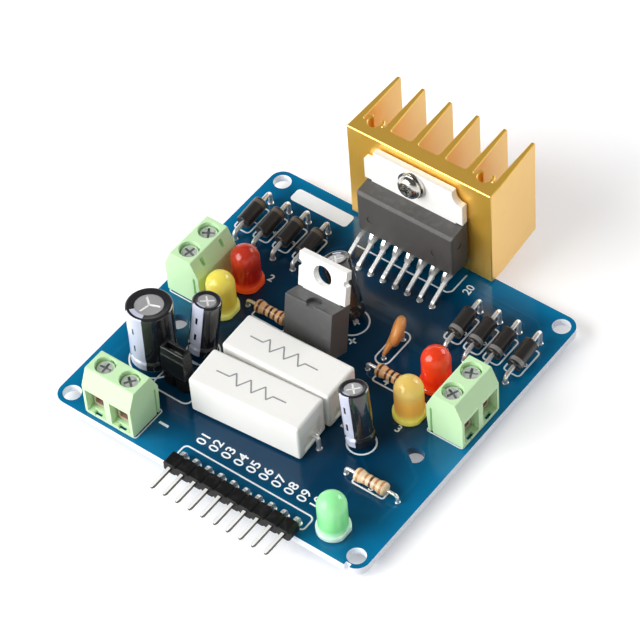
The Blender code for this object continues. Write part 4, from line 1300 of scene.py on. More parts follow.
@dataclass
class PinHeader(Assembly):
    """A ten-way right-angled header."""

    count: int = 10
    start: float = 23.95
    row: float = -0.1
    front: float = -4.05
    size: float = 2.5
    notch: float = 0.45
    pin: float = 0.64
    point: float = 0.55
    tip: float = -8.75
    height: float = 1.55
    bend: float = 0.75

    def build(self) -> None:
        """Makes the notched strip and its bent pins, with a painted highlight on the pins' tops and painted shade on
        their sides.
        """
        left = self.start - PITCH / 2
        top = self.height + self.size / 2
        bottom = self.height - self.size / 2
        cut = self.notch
        upper: list[Flat] = []
        lower: list[Flat] = []
        for index in range(self.count):
            near = left + PITCH * index
            far = near + PITCH
            upper += [(near, top - cut), (near + cut, top), (far - cut, top)]
            lower += [(near, bottom + cut), (near + cut, bottom), (far - cut, bottom)]
        right = left + PITCH * self.count
        outline = [*upper, (right, top - cut), (right, bottom + cut), *reversed(lower)]
        bar = soften(extruded(outline, self.front, self.front + self.size, Axis.Y), 0.07, 2, 25)
        self.shop.piece("header_strip", bar, ["header_black"], "moulded_black", ["pin_header"])
        pins = []
        for index in range(self.count):
            x = self.start + PITCH * index
            corners = [(x, self.tip + 0.5, self.height), (x, self.row, self.height), (x, self.row, LEAD_END)]
            path = [Vector((x, self.tip, self.height)), *rounded(corners, self.bend, 6)]
            sizes = [self.point, *[1.0] * (len(path) - 1)]
            pins.append(strip(path, self.pin, self.pin, 0.04, sizes))
            self.shop.drill(x, self.row, self.pin * 0.707)
        bm = merged(*pins)
        # Painted light: tops take pale tin as a highlight, sides keep the dark shaded tin, and the leg into the board
        # bright tin.
        for face in bm.faces:
            if face.calc_center_median().y > self.row - self.bend:
                face.material_index = 1
            elif face.normal.z > 0.9:
                face.material_index = 2
        self.shop.piece("header_pins", bm, ["shaded_pin_tin", "tin_bright", "tin_satin"], "tinned_metal")


@dataclass
class Jumper(Assembly):
    """A two-pin post with its slotted cap, a folded spring inside."""

    x: float = 13.5
    y: float = 11.45
    base: float = 2.5
    base_half: float = 1.25
    notch: float = 0.45
    width: float = 4.8
    depth: float = 2.4
    height: float = 5.9
    lip: float = 1.5
    lip_step: float = 0.2
    pin: float = 0.64
    slot: Flat = (1.9, 0.6)
    spring: Flat = (1.75, 0.09)

    def build(self) -> None:
        """Makes the post, its pins, the cap and the spring."""
        half, deep, cut = PITCH, self.base_half, self.notch
        outline = [(-half, -deep + cut), (-half + cut, -deep), (-cut, -deep), (0, -deep + cut), (cut, -deep)]
        outline += [(half - cut, -deep), (half, -deep + cut)]
        outline += [(-x, -y) for x, y in outline]
        post = soften(extruded(outline, LIFT, LIFT + self.base), 0.07, 2, 25)
        place = Matrix.Translation((self.x, self.y, 0))
        self.shop.piece("jumper_base", placed(post, place), ["header_black"], "moulded_black", ["jumper_post"])
        low = 2 * LIFT + self.base
        high = low + self.height
        pins = []
        for side in (-1, 1):
            x = side * PITCH / 2
            path = [Vector((x, 0, z)) for z in (LEAD_END, high - 1.9, high - 1.5)]
            pins.append(strip(path, self.pin, self.pin, 0.04, [1, 1, 0.55]))
            self.shop.drill(self.x + x, self.y, 0.45)
        # Jumper pins are in the dark shaded copy of tin.
        self.shop.piece("jumper_pins", placed(merged(*pins), place), ["shaded_pin_tin"], "tinned_metal")
        deep = self.depth / 2
        inner = deep - self.lip_step
        step = high - self.lip
        right = [(deep, low), (deep, step - self.lip_step), (inner, step), (inner, high)]
        cap = soften(extruded(mirrored(right), -self.width / 2, self.width / 2, Axis.X), 0.16, 3, 25)
        wide, thin = self.slot
        cap = soften(carved(cap, slab((-wide, -thin, low - 1), (wide, thin, high + 1))), 0.08, 2, 50)
        self.shop.piece("jumper_shell", placed(cap, place), ["shiny_black"], "moulded_black", ["jumper_cap"])
        wide, thin = self.spring
        springs = [
            slab((-wide, side * 0.5 - thin, low + 0.4), (wide, side * 0.5 + thin, high - 1.6), 0.05) for side in (-1, 1)
        ]
        self.shop.metal("jumper_spring", placed(merged(*springs), place))


@dataclass
class TerminalBlock(Assembly):
    """A two-way screw terminal: housing, screws, rising clamps and contacts.

    A round hole is its radius, its lower end and its upper end.
    """

    name: str
    place: Flat
    degrees: float
    depth: float = 7.2
    height: float = 10.1
    pitch: float = 5.08
    screw_v: float = 3.6
    leg: float = 1.7
    well: Point = (1.8, 8.35, 11.1)
    bore: Point = (1.5, 7.5, 8.45)
    chamber: Box = ((-2.1, 0.9, 1.0), (2.1, 5.9, 7.6))
    slit: Box = ((-0.35, 5.0, 7.8), (0.35, 8.2, 9.4))
    mouth: Box = ((-1.95, -1.0, 0.9), (1.95, 1.0, 6.1))
    slot: Box = ((-0.8, 4.7, -1.0), (0.8, 6.0, 1.1))
    clamp: Box = ((-1.8, -2.1, 1.3), (1.8, 1.0, 5.5))
    window: Box = ((-1.3, -3.1, 1.9), (1.3, 2.0, 4.9))
    clamp_hole: Point = (1.35, 4.8, 6.5)
    thread: float = 0.4
    thread_turns: int = 9

    def frame(self) -> Matrix:
        """Gives the block's own frame, whose Y is its depth."""
        return Matrix.Translation((*self.place, 0)) @ spun(self.degrees)

    def build(self) -> None:
        """Makes the housing and what is in each way of it."""
        green = "pale_green_plastic"
        node = f"terminal_housing_{self.name}"
        self.shop.piece(f"terminal_case_{self.name}", placed(self._housing(), self.frame()), [green], green, [node])
        for number, side in ((1, -1), (2, 1)):
            axis = self.frame() @ Matrix.Translation((side * self.pitch / 2, self.screw_v, 0))
            tag = f"{self.name}_{number}"
            screw = placed(self._screw(side), axis)
            finishes = ["zinc_screw", "shaded_screw_recess"]
            nodes = [f"terminal_screw_{tag}"]
            self.shop.piece(f"clamp_screw_{tag}", screw, finishes, "zinc_steel", nodes, f"screw_{tag}")
            cage = placed(self._cage(), axis)
            nodes = [f"terminal_clamp_{tag}"]
            self.shop.piece(f"clamp_cage_{tag}", cage, ["cage_metal"], "tinned_metal", nodes, f"clamp_{tag}")
            self.shop.metal(f"contact_strip_{tag}", placed(self._contact(), axis), [f"terminal_contact_{tag}"])
            leg = axis @ Vector((0, self.leg, 0))
            self.shop.drill(leg.x, leg.y, 0.58)

    def _housing(self) -> BMesh:
        """Moulds the housing, with its chambers, wells, slits, mouths, bores, side grooves and drains.

        Returns:
            The shape, in the block's frame.
        """
        half, deep, top = self.pitch, self.depth, self.height
        profile = [(0.0, LIFT), (0.0, 6.9), (1.4, top), (5.7, top), (deep, 6.6), (deep - 0.1, 3.0), (deep - 0.35, LIFT)]
        bm = soften(extruded(profile, -half, half, Axis.X), 0.16, 2, 10)
        drain = [(-0.85, 0.15), (-0.5, 0.15), (-0.5, -1.0), (-0.3, -1.0), (-0.3, 0.15), (0.75, 0.15)]
        drain += [(0.75, 0.85), (-0.85, 0.85)]
        tools: list[BMesh] = []
        for side in (-1, 1):
            u = side * self.pitch / 2
            edge = side * half
            low, high = sorted((edge - side * 0.35, edge + side))
            tools += [
                self._hollow(self.chamber, u),
                shifted(drum(*self.well, steps=40), u, self.screw_v),
                self._hollow(self.slit, u),
                self._hollow(self.mouth, u),
                shifted(drum(*self.bore), u, self.screw_v),
                self._hollow(self.slot, u),
                slab((low, 5.95, -1), (high, 6.4, 6.5)),
                extruded([(u + x, y) for x, y in drain], -1.0, 1.2),
            ]
        return soften(carved(bm, *tools), 0.06, 1, 50)

    @staticmethod
    def _hollow(box: Box, u: float) -> BMesh:
        """Makes the tool for one of a way's hollows, u along the block."""
        (left, front, low), (right, back, high) = box
        return slab((u + left, front, low), (u + right, back, high))

    def _screw(self, side: int) -> BMesh:
        """Turns a clamp screw, with a cross recess in its worn head, whose faces are painted a darker grey as shade.

        Args:
            side: The way that it sits in, which sets how far it is turned.

        Returns:
            The shape, on its own axis.
        """
        head = turned([(0.0, 9.45), (1.3, 9.45), (1.42, 9.4), (1.5, 9.28), (1.5, 8.7), (1.4, 8.65), (0.0, 8.65)])
        head = soften(carved(head, *cross(1.1, 0.22, 8.95, 10)), 0.05, 2, 50)
        # The recess's faces get the darker grey: painted shade.
        for face in head.faces:
            middle = face.calc_center_median()
            if 8.9 < middle.z < 9.38 and middle.xy.length < 1.2:
                face.material_index = 1
        thread = [(0.0, 8.7), (1.1, 8.7)]
        for turn in range(self.thread_turns):
            thread += [(1.2, 8.6 - self.thread * turn), (1.02, 8.4 - self.thread * turn)]
        bm = merged(head, turned([*thread, (0.96, 4.95), (0.0, 4.9)], 24))
        return placed(bm, spun(28 + 23 * side + self.degrees * 0.7))

    def _cage(self) -> BMesh:
        """Folds the clamp's window frame on the screw's axis, with the screw's hole in its top."""
        tools = slab(*self.window), drum(*self.clamp_hole)
        return soften(carved(slab(*self.clamp, 0.12), *tools), 0.04, 1, 50)

    def _contact(self) -> BMesh:
        """Bends the contact, with its leg down into the board."""
        path = [(0, -2.1, 4.3), (0, self.leg, 4.3), (0, self.leg, LEAD_END)]
        return strip(rounded(path, 0.5), 1.0, 0.6)


@dataclass
class AxialPart:
    """A turned body on bent leads, lying between two holes of the board."""

    near: Point
    far: Point
    near_hole: Flat
    far_hole: Flat
    lead: float
    inset: float = 0.4
    bend: float = 0.75

    def leads(self, shop: Workshop) -> BMesh:
        """Bends both leads from the body down through the board.

        Args:
            shop: The workshop that notes the holes.

        Returns:
            Both leads as one shape.
        """
        start, end = Vector(self.near), Vector(self.far)
        along = (end - start).normalized()
        level = Vector((along.x, along.y, 0)).normalized()
        hint = tuple(level.cross(Vector((0, 0, 1))))
        parts = []
        for point, hole, way in ((start, self.near_hole, -1), (end, self.far_hole, 1)):
            ground = Vector((*hole, 0))
            run = (ground - point).dot(level) * way
            knee = point + along * way * run / along.dot(level)
            path = [tuple(point - along * way * self.inset), tuple(knee), (*hole, LEAD_END)]
            parts.append(wire(path, self.lead, self.bend, 12, hint))
            shop.drill(*hole, self.lead)
        return merged(*parts)

    def place(self) -> Matrix:
        """Finds where a turned body goes, whose height runs from 0 to its length.

        Returns:
            The matrix that lays the body between the ends.
        """
        start, end = Vector(self.near), Vector(self.far)
        return Matrix.Translation(start) @ leaning(end - start)

    def length(self) -> float:
        """Gives the body's length."""
        return (Vector(self.far) - Vector(self.near)).length


@dataclass
class DiodeRow(Assembly):
    """Eight diodes in two groups, each with a band at one end."""

    far_y: float = HOLE_PITCH[1] - 5.0
    span: float = 10.0
    radius: float = 1.35
    length: float = 5.3
    lead: float = 0.4
    group: int = 4
    places: tuple[tuple[float, float, float], ...] = (
        (1.3, 1.75, 2.3),
        (5.3, 1.75, 2.3),
        (9.45, 1.8, 2.5),
        (13.7, 1.75, 2.3),
        (HOLE_PITCH[0] - 12.9, 1.75, 2.7),
        (HOLE_PITCH[0] - 8.95, 1.75, 2.7),
        (HOLE_PITCH[0] - 5.05, 1.75, 2.7),
        (HOLE_PITCH[0] - 0.85, 1.75, 2.7),
    )

    def build(self) -> None:
        """Makes every diode's body and leads."""
        near_y = self.far_y - self.span
        middle = self.far_y - self.span / 2
        for number, (x, near_z, far_z) in enumerate(self.places, 1):
            near = (x, middle - self.length / 2, near_z)
            far = (x, middle + self.length / 2, far_z)
            part = AxialPart(near, far, (x, near_y), (x, self.far_y), self.lead)
            size = part.length()
            r = self.radius
            profile = [(0.0, 0.0), (r * 0.82, 0.0), (r * 0.93, 0.05), (r * 0.98, 0.15), (r, 0.3), (r, size - 0.3)]
            profile += [(r * 0.98, size - 0.15), (r * 0.93, size - 0.05), (r * 0.82, size), (0.0, size)]
            left = number <= self.group
            band = (size - 1.15, size - 0.45, 1) if left else (0.5, 1.25, 1)
            body = placed(banded(turned(profile), [band]), part.place())
            finishes = ["diode_black", "diode_band_dull" if left else "diode_band"]
            self.shop.piece(f"diode_{number}_case", body, finishes, "moulded_black", [f"diode_{number}"])
            self.shop.metal(f"diode_{number}_leads", part.leads(self.shop))


@dataclass
class AxialResistors(Assembly):
    """Three small resistors with waisted, banded bodies."""

    length: float = 6.5
    radius: float = 1.2
    waist: float = 0.98
    lead: float = 0.3
    band: float = 0.42
    band_starts: tuple[float, ...] = (0.85, 2.2, 3.2, 4.2, 5.3)
    places: tuple[tuple[str, Flat, str, tuple[int, ...]], ...] = (
        ("rear", (17.4, 31.2), "tan_lacquer", (1, 1, 2, 1, 1)),
        ("middle", (HOLE_PITCH[0] - 15.95, 31.4), "tan_lacquer", (1, 1, 2, 1, 1)),
        ("front", (HOLE_PITCH[0] - 6.0, 12.15), "beige_lacquer", (3, 3, 1, 3, 3)),
    )

    def build(self) -> None:
        """Makes every resistor's body, colour bands and leads."""
        height = self.radius + LIFT
        profile = [(0.0, 0.0)]
        for step in range(21):
            share = step / 20
            bulge = max(0.0, math.cos((min(share, 1 - share) - 0.14) * math.pi / 0.3))
            end = math.sin(min(1.0, min(share, 1 - share) / 0.1 + 0.25) * math.pi / 2)
            profile.append(((self.waist + (self.radius - self.waist) * bulge) * end, share * self.length))
        profile.append((0.0, self.length))
        for name, (x, y), base, colours in self.places:
            near = (x - self.length / 2, y, height)
            far = (x + self.length / 2, y, height)
            part = AxialPart(near, far, (x - 2 * PITCH, y), (x + 2 * PITCH, y), self.lead)
            bands = [(low, low + self.band, colour) for low, colour in zip(self.band_starts, colours)]
            body = placed(banded(turned(profile, 28), bands), part.place())
            node = f"axial_resistor_{name}"
            finishes = [base, "band_brown", "band_black", "band_orange"]
            self.shop.piece(f"{node}_body", body, finishes, "tan_lacquer", [node])
            self.shop.metal(f"{node}_leads", part.leads(self.shop))


@dataclass
class Lamps(Assembly):
    """Five round lamps: tinted lens with a flatted flange, and the lead frame inside it."""

    radius: float = 2.5
    flange: float = 2.9
    flange_h: float = 1.0
    height: float = 8.6
    stem: float = 0.25
    places: tuple[tuple[str, Flat, str], ...] = (
        ("red_left", (9.3, 35.1), "lens_red_deep"),
        ("yellow_left", (9.45, 28.15), "lens_yellow"),
        ("red_right", (HOLE_PITCH[0] - 9.75, 35.15), "lens_red_bright"),
        ("amber_right", (HOLE_PITCH[0] - 9.75, 27.65), "lens_amber"),
        ("green_front", (HOLE_PITCH[0] - 6.0, 2.05), "lens_green"),
    )

    def build(self) -> None:
        """Makes every lamp's lens, lead frame and leads."""
        profile = self._profile()
        for name, (x, y), finish in self.places:
            lens = carved(turned(profile, 56), slab((self.radius + 0.1, -4, -1), (4, 4, 3)))
            self.shop.piece(f"lamp_lens_{name}", shifted(lens, x, y, LIFT), [finish], f"led_{name}", [f"led_{name}"])
            parts = []
            for side, tall, wide in ((-1, 3.6, 1.5), (1, 4.4, 0.7)):
                foot = side * PITCH / 2
                low, high = (foot - self.stem, -self.stem, LEAD_END), (foot + self.stem, self.stem, tall)
                parts.append(slab(low, high, 0.04, 1))
                head = [(foot - side * wide, tall), (foot + side * 0.3, tall), (foot + side * 0.2, tall - 1.5)]
                parts.append(extruded(head, -self.stem, self.stem, Axis.Y))
                self.shop.drill(x + foot, y, 0.35)
            cup = turned([(0.0, 3.6), (0.3, 3.6), (0.55, 4.2), (0.65, 4.2), (0.55, 3.3), (0.0, 3.2)], 20)
            self.shop.metal(f"lamp_frame_{name}", shifted(merged(*parts, shifted(cup, -0.1)), x, y))

    def _profile(self) -> list[Flat]:
        """Draws the lens, with its flange and dome.

        Returns:
            Points of radius and height.
        """
        shoulder = self.height - self.radius
        profile = [(0.0, 0.0), (self.flange - 0.15, 0.0), (self.flange, 0.12), (self.flange, self.flange_h - 0.12)]
        profile += [(self.flange - 0.15, self.flange_h), (self.radius + 0.08, self.flange_h)]
        profile += [(self.radius, self.flange_h + 0.1), (self.radius, shoulder)]
        for step in range(1, 12):
            turn = math.radians(7.5 * step)
            profile.append((self.radius * math.cos(turn), shoulder + self.radius * math.sin(turn)))
        return [*profile, (0.0, self.height)]


@dataclass
class Capacitors(Assembly):
    """Four electrolytic capacitors, tilted as they were soldered.

    A place is a name, a radius, a height, a foot, the top's lean, half the leads' pitch and the stripe's bearing.
    """

    rim: float = 0.62
    vent: float = 0.34
    lead: float = 0.3
    large: float = 3.0
    stripe: float = 26.0
    marks: Flat = (0.34, 0.66)
    mark: float = 1.3
    places: tuple[tuple[str, float, float, Flat, Flat, float, float], ...] = (
        ("main", 4.0, 12.0, (6.7, 13.5), (-0.5, 0.8), 1.75, -98.0),
        ("rear_left", 2.5, 11.0, (12.4, 19.0), (0.5, 2.0), 1.0, -92.0),
        ("front_right", 2.5, 11.0, (HOLE_PITCH[0] - 12.8, 18.4), (-1.8, 1.2), 1.0, -94.0),
        ("centre", 2.5, 11.0, (28.4, 38.6), (-3.8, 1.5), 1.0, 120.0),
    )

    def build(self) -> None:
        """Makes every capacitor's sleeve, top, bung and leads."""
        for name, radius, height, (x, y), (lean_x, lean_y), pin, stripe in self.places:
            rise = math.sqrt(height**2 - lean_x**2 - lean_y**2)
            axis = Vector((lean_x, lean_y, rise)).normalized()
            place = Matrix.Translation((x, y, LIFT + radius * math.hypot(axis.x, axis.y))) @ leaning(axis)
            sleeve = placed(self._sleeve(radius, height, stripe), place)
            top = placed(self._top(radius, height), place)
            node = f"electrolytic_{name}"
            self.shop.piece(f"can_sleeve_{name}", sleeve, ["black_sleeve", "sleeve_stripe"], "black_sleeve", [node])
            self.shop.piece(f"can_top_{name}", top, ["can_top", "tin_satin"], "zinc_steel")
            parts = [placed(drum(radius - 0.7, 0.02, 0.5, 0.1), place)]
            for foot in (-pin, pin):
                inner = place @ Vector((foot, 0, 0.4))
                path = [tuple(inner), (x + foot, y, 0.15), (x + foot, y, LEAD_END)]
                parts.append(inked(wire(path, self.lead, 0.2, 10), 1))
                self.shop.drill(x + foot, y, self.lead)
            self.shop.piece(f"can_foot_{name}", merged(*parts), ["rubber_bung", "tin_bright"], "black_sleeve")

    def _sleeve(self, radius: float, height: float, stripe: float) -> BMesh:
        """Shrinks the sleeve over the can's crimp and rim, with a marked pale stripe down one side.

        Args:
            radius: The can's radius.
            height: The can's height.
            stripe: Bearing of the stripe, in degrees.

        Returns:
            The shape, standing on Z.
        """
        rim = radius * self.rim
        large = radius > self.large
        outer = [(0.7, 0.0), (0.3, 0.02), (0.06, 0.14), (0.0, 0.4), (0.0, 1.55), (0.1, 1.68), (0.28, 1.82)]
        outer += [(0.34, 1.95), (0.28, 2.08), (0.1, 2.2), (0.0, 2.34)]
        upper = [(0.0, 0.5), (0.05, 0.2), (0.2, 0.05), (0.4, 0.0), (0.65, 0.06)]
        profile = [(radius - inset, z) for inset, z in outer] + [(radius - inset, height - z) for inset, z in upper]
        profile += [(rim, height - 0.14), (rim, height - 0.3)]
        profile += [(radius - 0.8 if large else rim - 0.05, height - 0.32), (radius - 0.8, 0.3), (radius - 0.7, 0.0)]
        bm = turned(profile, 72)
        marks = [(height * share, height * share + self.mark) for share in self.marks]
        banded(bm, [(low, high, 0) for low, high in marks])
        for face in bm.faces:
            middle = face.calc_center_median()
            away = abs((math.degrees(math.atan2(middle.y, middle.x)) - stripe + 180) % 360 - 180)
            marked = away < (3.0 if large else 5.5) and any(low < middle.z < high for low, high in marks)
            outside = 0.3 < middle.z < height - 0.1 and middle.xy.length > rim + 0.1
            if away < self.stripe and outside and not marked:
                face.material_index = 1
        return bm

    def _top(self, radius: float, height: float) -> BMesh:
        """Presses the can's top, with its vent grooves and a painted highlight on their floors.

        Args:
            radius: The can's radius.
            height: The can's height.

        Returns:
            The shape, standing on Z.
        """
        rim = radius * self.rim
        top = height - 0.2
        half = self.vent / 2
        edge = rim + 0.12
        bm = turned([(0.0, top), (rim - 0.1, top), (edge, top - 0.1), (edge, top - 0.5), (0.0, top - 0.5)], 48)
        cutters = []
        lit_vent_floors = []
        for arm in (20.0, 140.0, 260.0) if radius > self.large else (45.0, 135.0, 225.0, 315.0):
            cutters.append(placed(slab((0.0, -half, top - 0.1), (rim * 0.8, half, top + 0.5)), spun(arm)))
            # The groove floors are pale tin: a painted highlight.
            score = slab((0.1, -half + 0.01, top - 0.2), (rim * 0.8 - 0.05, half - 0.01, top - 0.07))
            lit_vent_floors.append(placed(inked(score, 1), spun(arm)))
        return merged(soften(carved(bm, *cutters), 0.03, 1, 50), *lit_vent_floors)


@dataclass
class DiscCapacitor(Assembly):
    """A dipped ceramic disc, whose dip runs a little way down both leads."""

    place: Point = (38.3, 38.3, 3.7)
    radius: float = 2.7
    thickness: float = 2.1
    axis: Point = (0.896, 0.362, -0.26)
    holes: tuple[Flat, Flat] = ((37.9, 34.7), (38.2, 39.75))
    knee: float = 0.9
    lead: float = 0.27
    voxel: float = 0.13

    def build(self) -> None:
        """Makes the dip as one smooth skin, and the leads."""
        half = self.thickness / 2
        shares = ((0.0, -1.0), (0.5, -0.96), (0.8, -0.75), (0.95, -0.45), (1.0, 0.0))
        profile = [(self.radius * share, half * thick) for share, thick in shares]
        profile += [(r, -z) for r, z in reversed(profile[:-1])]
        parts = [placed(turned(profile, 40), Matrix.Translation(self.place) @ leaning(Vector(self.axis)))]
        centre = Vector(self.place)
        wires = []
        for x, y in self.holes:
            knee = Vector((x, y, self.knee))
            neck = [knee.lerp(centre, share) for share in (-0.02, 0.1, 0.3, 0.5, 0.7)]
            parts.append(swept(neck, Section(1.0, 1.0, 16), sizes=[0.62, 0.85, 1.1, 1.4, 1.6]))
            path = [tuple(knee.lerp(centre, 0.5)), tuple(knee), (x, y, LEAD_END)]
            wires.append(wire(path, self.lead, 0.3, 10))
            self.shop.drill(x, y, 0.3)
        dip = finished(merged(*parts), self._skin)
        self.shop.piece("disc_dip", dip, ["orange_dip"], "orange_dip", ["ceramic_disc"], smooth=80)
        self.shop.metal("disc_leads", merged(*wires))

    def _skin(self, thing: bpy.types.Object) -> None:
        """Adds a voxel skin over disc and necks, then smooths it.

        Args:
            thing: The object that holds them.
        """
        remesh = thing.modifiers.new("skin", "REMESH")
        remesh.mode = "VOXEL"
        remesh.voxel_size = self.voxel
        smooth = thing.modifiers.new("flow", "SMOOTH")
        smooth.iterations = 8
        smooth.factor = 0.5


@dataclass
class CeramicResistors(Assembly):
    """Two wire-wound resistors in white cases, each with a plain resistor sign printed on top."""

    length: float = 21.2
    width: float = 7.7
    top: float = 8.1
    lead: float = 0.4
    lead_z: float = 3.0
    reach: float = 1.0
    uneven: float = 0.05
    places: tuple[tuple[str, Flat, float], ...] = (
        ("front", (MIDDLE - 0.2, 12.8), 4.4),
        ("rear", (MIDDLE - 0.1, 21.3), 1.8),
    )

    def build(self) -> None:
        """Makes both cases, their cement, print and leads."""
        half = self.length / 2
        wide = self.width / 2
        for name, (x, y), degrees in self.places:
            place = Matrix.Translation((x, y, 0)) @ spun(degrees)
            case = slab((-half, -wide, LIFT), (half, wide, self.top), 0.55, 4)
            tools = []
            fills = []
            wires = []
            for side in (-1, 1):
                low, high = sorted((side * (half - 0.35), side * (half + 1)))
                tools.append(slab((low, -2.5, 1.1), (high, 2.5, 5.2), 0.3))
                low, high = sorted((side * (half - 0.6), side * (half - 0.3)))
                fills.append(inked(self._cement(low, high), 1))
                end = side * (half + self.reach)
                path = [(side * (half - 1), 0, self.lead_z), (end, 0, self.lead_z), (end, 0, LEAD_END)]
                wires.append(wire(path, self.lead, 0.8, 14, (0, 1, 0)))
                hole = place @ Vector((end, 0, 0))
                self.shop.drill(hole.x, hole.y, self.lead)
            case = soften(carved(case, *tools), 0.08, 2, 50)
            bm = placed(merged(case, *fills), place)
            node = f"ceramic_resistor_{name}"
            self.shop.piece(f"cement_case_{name}", bm, ["white_ceramic", "cement_fill"], "white_ceramic", [node])
            self.shop.metal(f"cement_leads_{name}", placed(merged(*wires), place))
            self.shop.piece(f"cement_print_{name}", placed(self._print(), place), ["grey_print"], "white_ceramic")

    def _cement(self, low: float, high: float) -> BMesh:
        """Fills the end of a case with a slightly uneven face of cement.

        Args:
            low: The fill's lower end along the case.
            high: Its upper end.

        Returns:
            The shape.
        """
        bm = slab((low, -2.6, 1.0), (high, 2.6, 5.3))
        bmesh.ops.subdivide_edges(bm, edges=bm.edges, cuts=6, use_grid_fill=True)
        noise = random.Random(7)
        for vert in bm.verts:
            vert.co.x += noise.uniform(-self.uneven, self.uneven)
        return bm

    def _print(self) -> BMesh:
        """Prints the zigzag sign of a resistor on the case's top.

        Returns:
            The shape.
        """
        path = [(-7.5, 0.0), (-5.0, 0.0), (-4.3, 1.1), (-2.9, -1.1), (-1.5, 1.1), (-0.1, -1.1), (1.3, 1.1)]
        path += [(2.7, -1.1), (3.4, 0.0), (5.9, 0.0)]
        return line(path, 0.26, self.top, 0.02, bend=0.1)


@dataclass
class Legend(Assembly):
    """White marks on the board: outlines, plain numerals and a blank label."""

    parts: list[BMesh] = field(default_factory=list)
    thick: float = 0.03
    width: float = 0.3
    size: float = 2.1
    numerals: tuple[tuple[float, float, float, str], ...] = (
        (40.9, 54.7, 90, "20"),
        (48.6, 24.1, 0, "3"),
        (11.9, 38.1, 0, "2"),
        (29.6, 38.2, 90, "4"),
        (41.2, 30.9, 0, "4"),
        (52.2, 12.1, 0, "5"),
        (41.3, 19.6, 90, "5"),
    )
    terminals: tuple[tuple[Flat, Flat, Flat], ...] = (
        ((9.55, 1.75), (-5.18, -3.35), (5.18, 3.7)),
        ((2.65, 31.5), (-3.35, -5.18), (3.7, 5.18)),
        ((56.15, 31.5), (-3.7, -5.0), (3.35, 5.18)),
    )
    rings: tuple[tuple[Flat, float, int], ...] = (
        ((6.7, 13.5), 4.35, 40),
        ((12.4, 19.0), 2.85, 32),
        ((45.4, 18.5), 2.45, 32),
        ((28.9, 38.1), 2.95, 32),
    )
    resistors: tuple[tuple[Flat, Flat], ...] = (
        ((39.0, 29.95), (45.3, 32.8)),
        ((48.75, 11.2), (54.9, 13.2)),
        ((14.1, 29.8), (20.7, 32.6)),
    )

    def trace(self, path: Sequence[Flat], closed: bool = False, width: float | None = None) -> None:
        """Adds a line."""
        self.parts.append(line(path, width or self.width, 0.0, self.thick, closed))

    def box(self, low: Flat, high: Flat, radius: float, steps: int = 2, width: float | None = None) -> None:
        """Adds the outline of a rectangle with round corners."""
        self.trace(rounded_box(low, high, radius, steps), True, width)

    def numeral(self, text: str, place: Flat, degrees: float, size: float) -> None:
        """Adds plain numerals, centred on a place.

        Args:
            text: The numerals.
            place: Their middle.
            degrees: How far they are turned.
            size: The letter size.
        """
        curve = bpy.data.curves.new("numeral", "FONT")
        curve.body = text
        curve.size = size
        curve.align_x = "CENTER"
        curve.align_y = "CENTER"
        curve.offset = 0.03
        curve.resolution_u = 3
        curve.extrude = self.thick / 2
        bm = evaluated(shown("numeral", curve))
        bmesh.ops.remove_doubles(bm, verts=bm.verts, dist=1e-4)
        self.parts.append(placed(bm, Matrix.Translation((*place, self.thick / 2)) @ spun(degrees)))

    def build(self) -> None:
        """Draws every mark and makes them one piece."""
        header = [(22.2, -0.4), *arc((23.0, 1.3), 0.8, 180, 90, 4), *arc((47.4, 1.3), 0.8, 90, 0, 4)]
        self.trace([*header, *arc((47.6, -0.3), 0.6, 0, -90, 3)])
        for index in range(PinHeader.count):
            self.numeral(f"{index + 1:02d}", (PinHeader.start + PITCH * index, 4.7), 90, 2.5)
        for (x, y), low, high in self.terminals:
            corners = rounded_box(low, high, 0.4, 2)
            self.trace([(x + across, y + along) for across, along in corners], True, 0.22)
        self.trace([(15.7, 3.35), (17.6, 3.35)], width=0.45)
        self.box((9.6, 8.5), (17.4, 16.4), 1.2, 3)
        for centre, radius, steps in self.rings:
            self.trace(ring(centre, radius, steps), True)
        self.trace([(30.7, 34.75), (32.2, 34.75)])
        self.trace([(31.45, 34.0), (31.45, 35.5)])
        self.box((36.5, 33.4), (39.15, 41.3), 1.3, 5)
        for low, high in self.resistors:
            self.box(low, high, 0.35)
        columns = [x for x, _, _ in DiodeRow.places]
        for x in columns:
            self.box((x - 1.95, 43.9), (x + 1.2, 50.1), 0.5)
        for index, x in enumerate(columns):
            self.numeral(str(index + 1), (x + 0.45, 46.6), 90, 1.7)
        self.trace([(19.2, 52.2), (38.1, 52.2), (38.75, 52.9), (38.75, 57.2)])
        for x, y, degrees, text in self.numerals:
            self.numeral(text, (x, y), degrees, self.size)
        self.parts.append(extruded(rounded_box((3.35, 54.3), (15.4, 57.2), 0.7, 6), 0, self.thick))
        self.shop.piece("board_legend", merged(*self.parts), ["legend_white"], "board_blue")


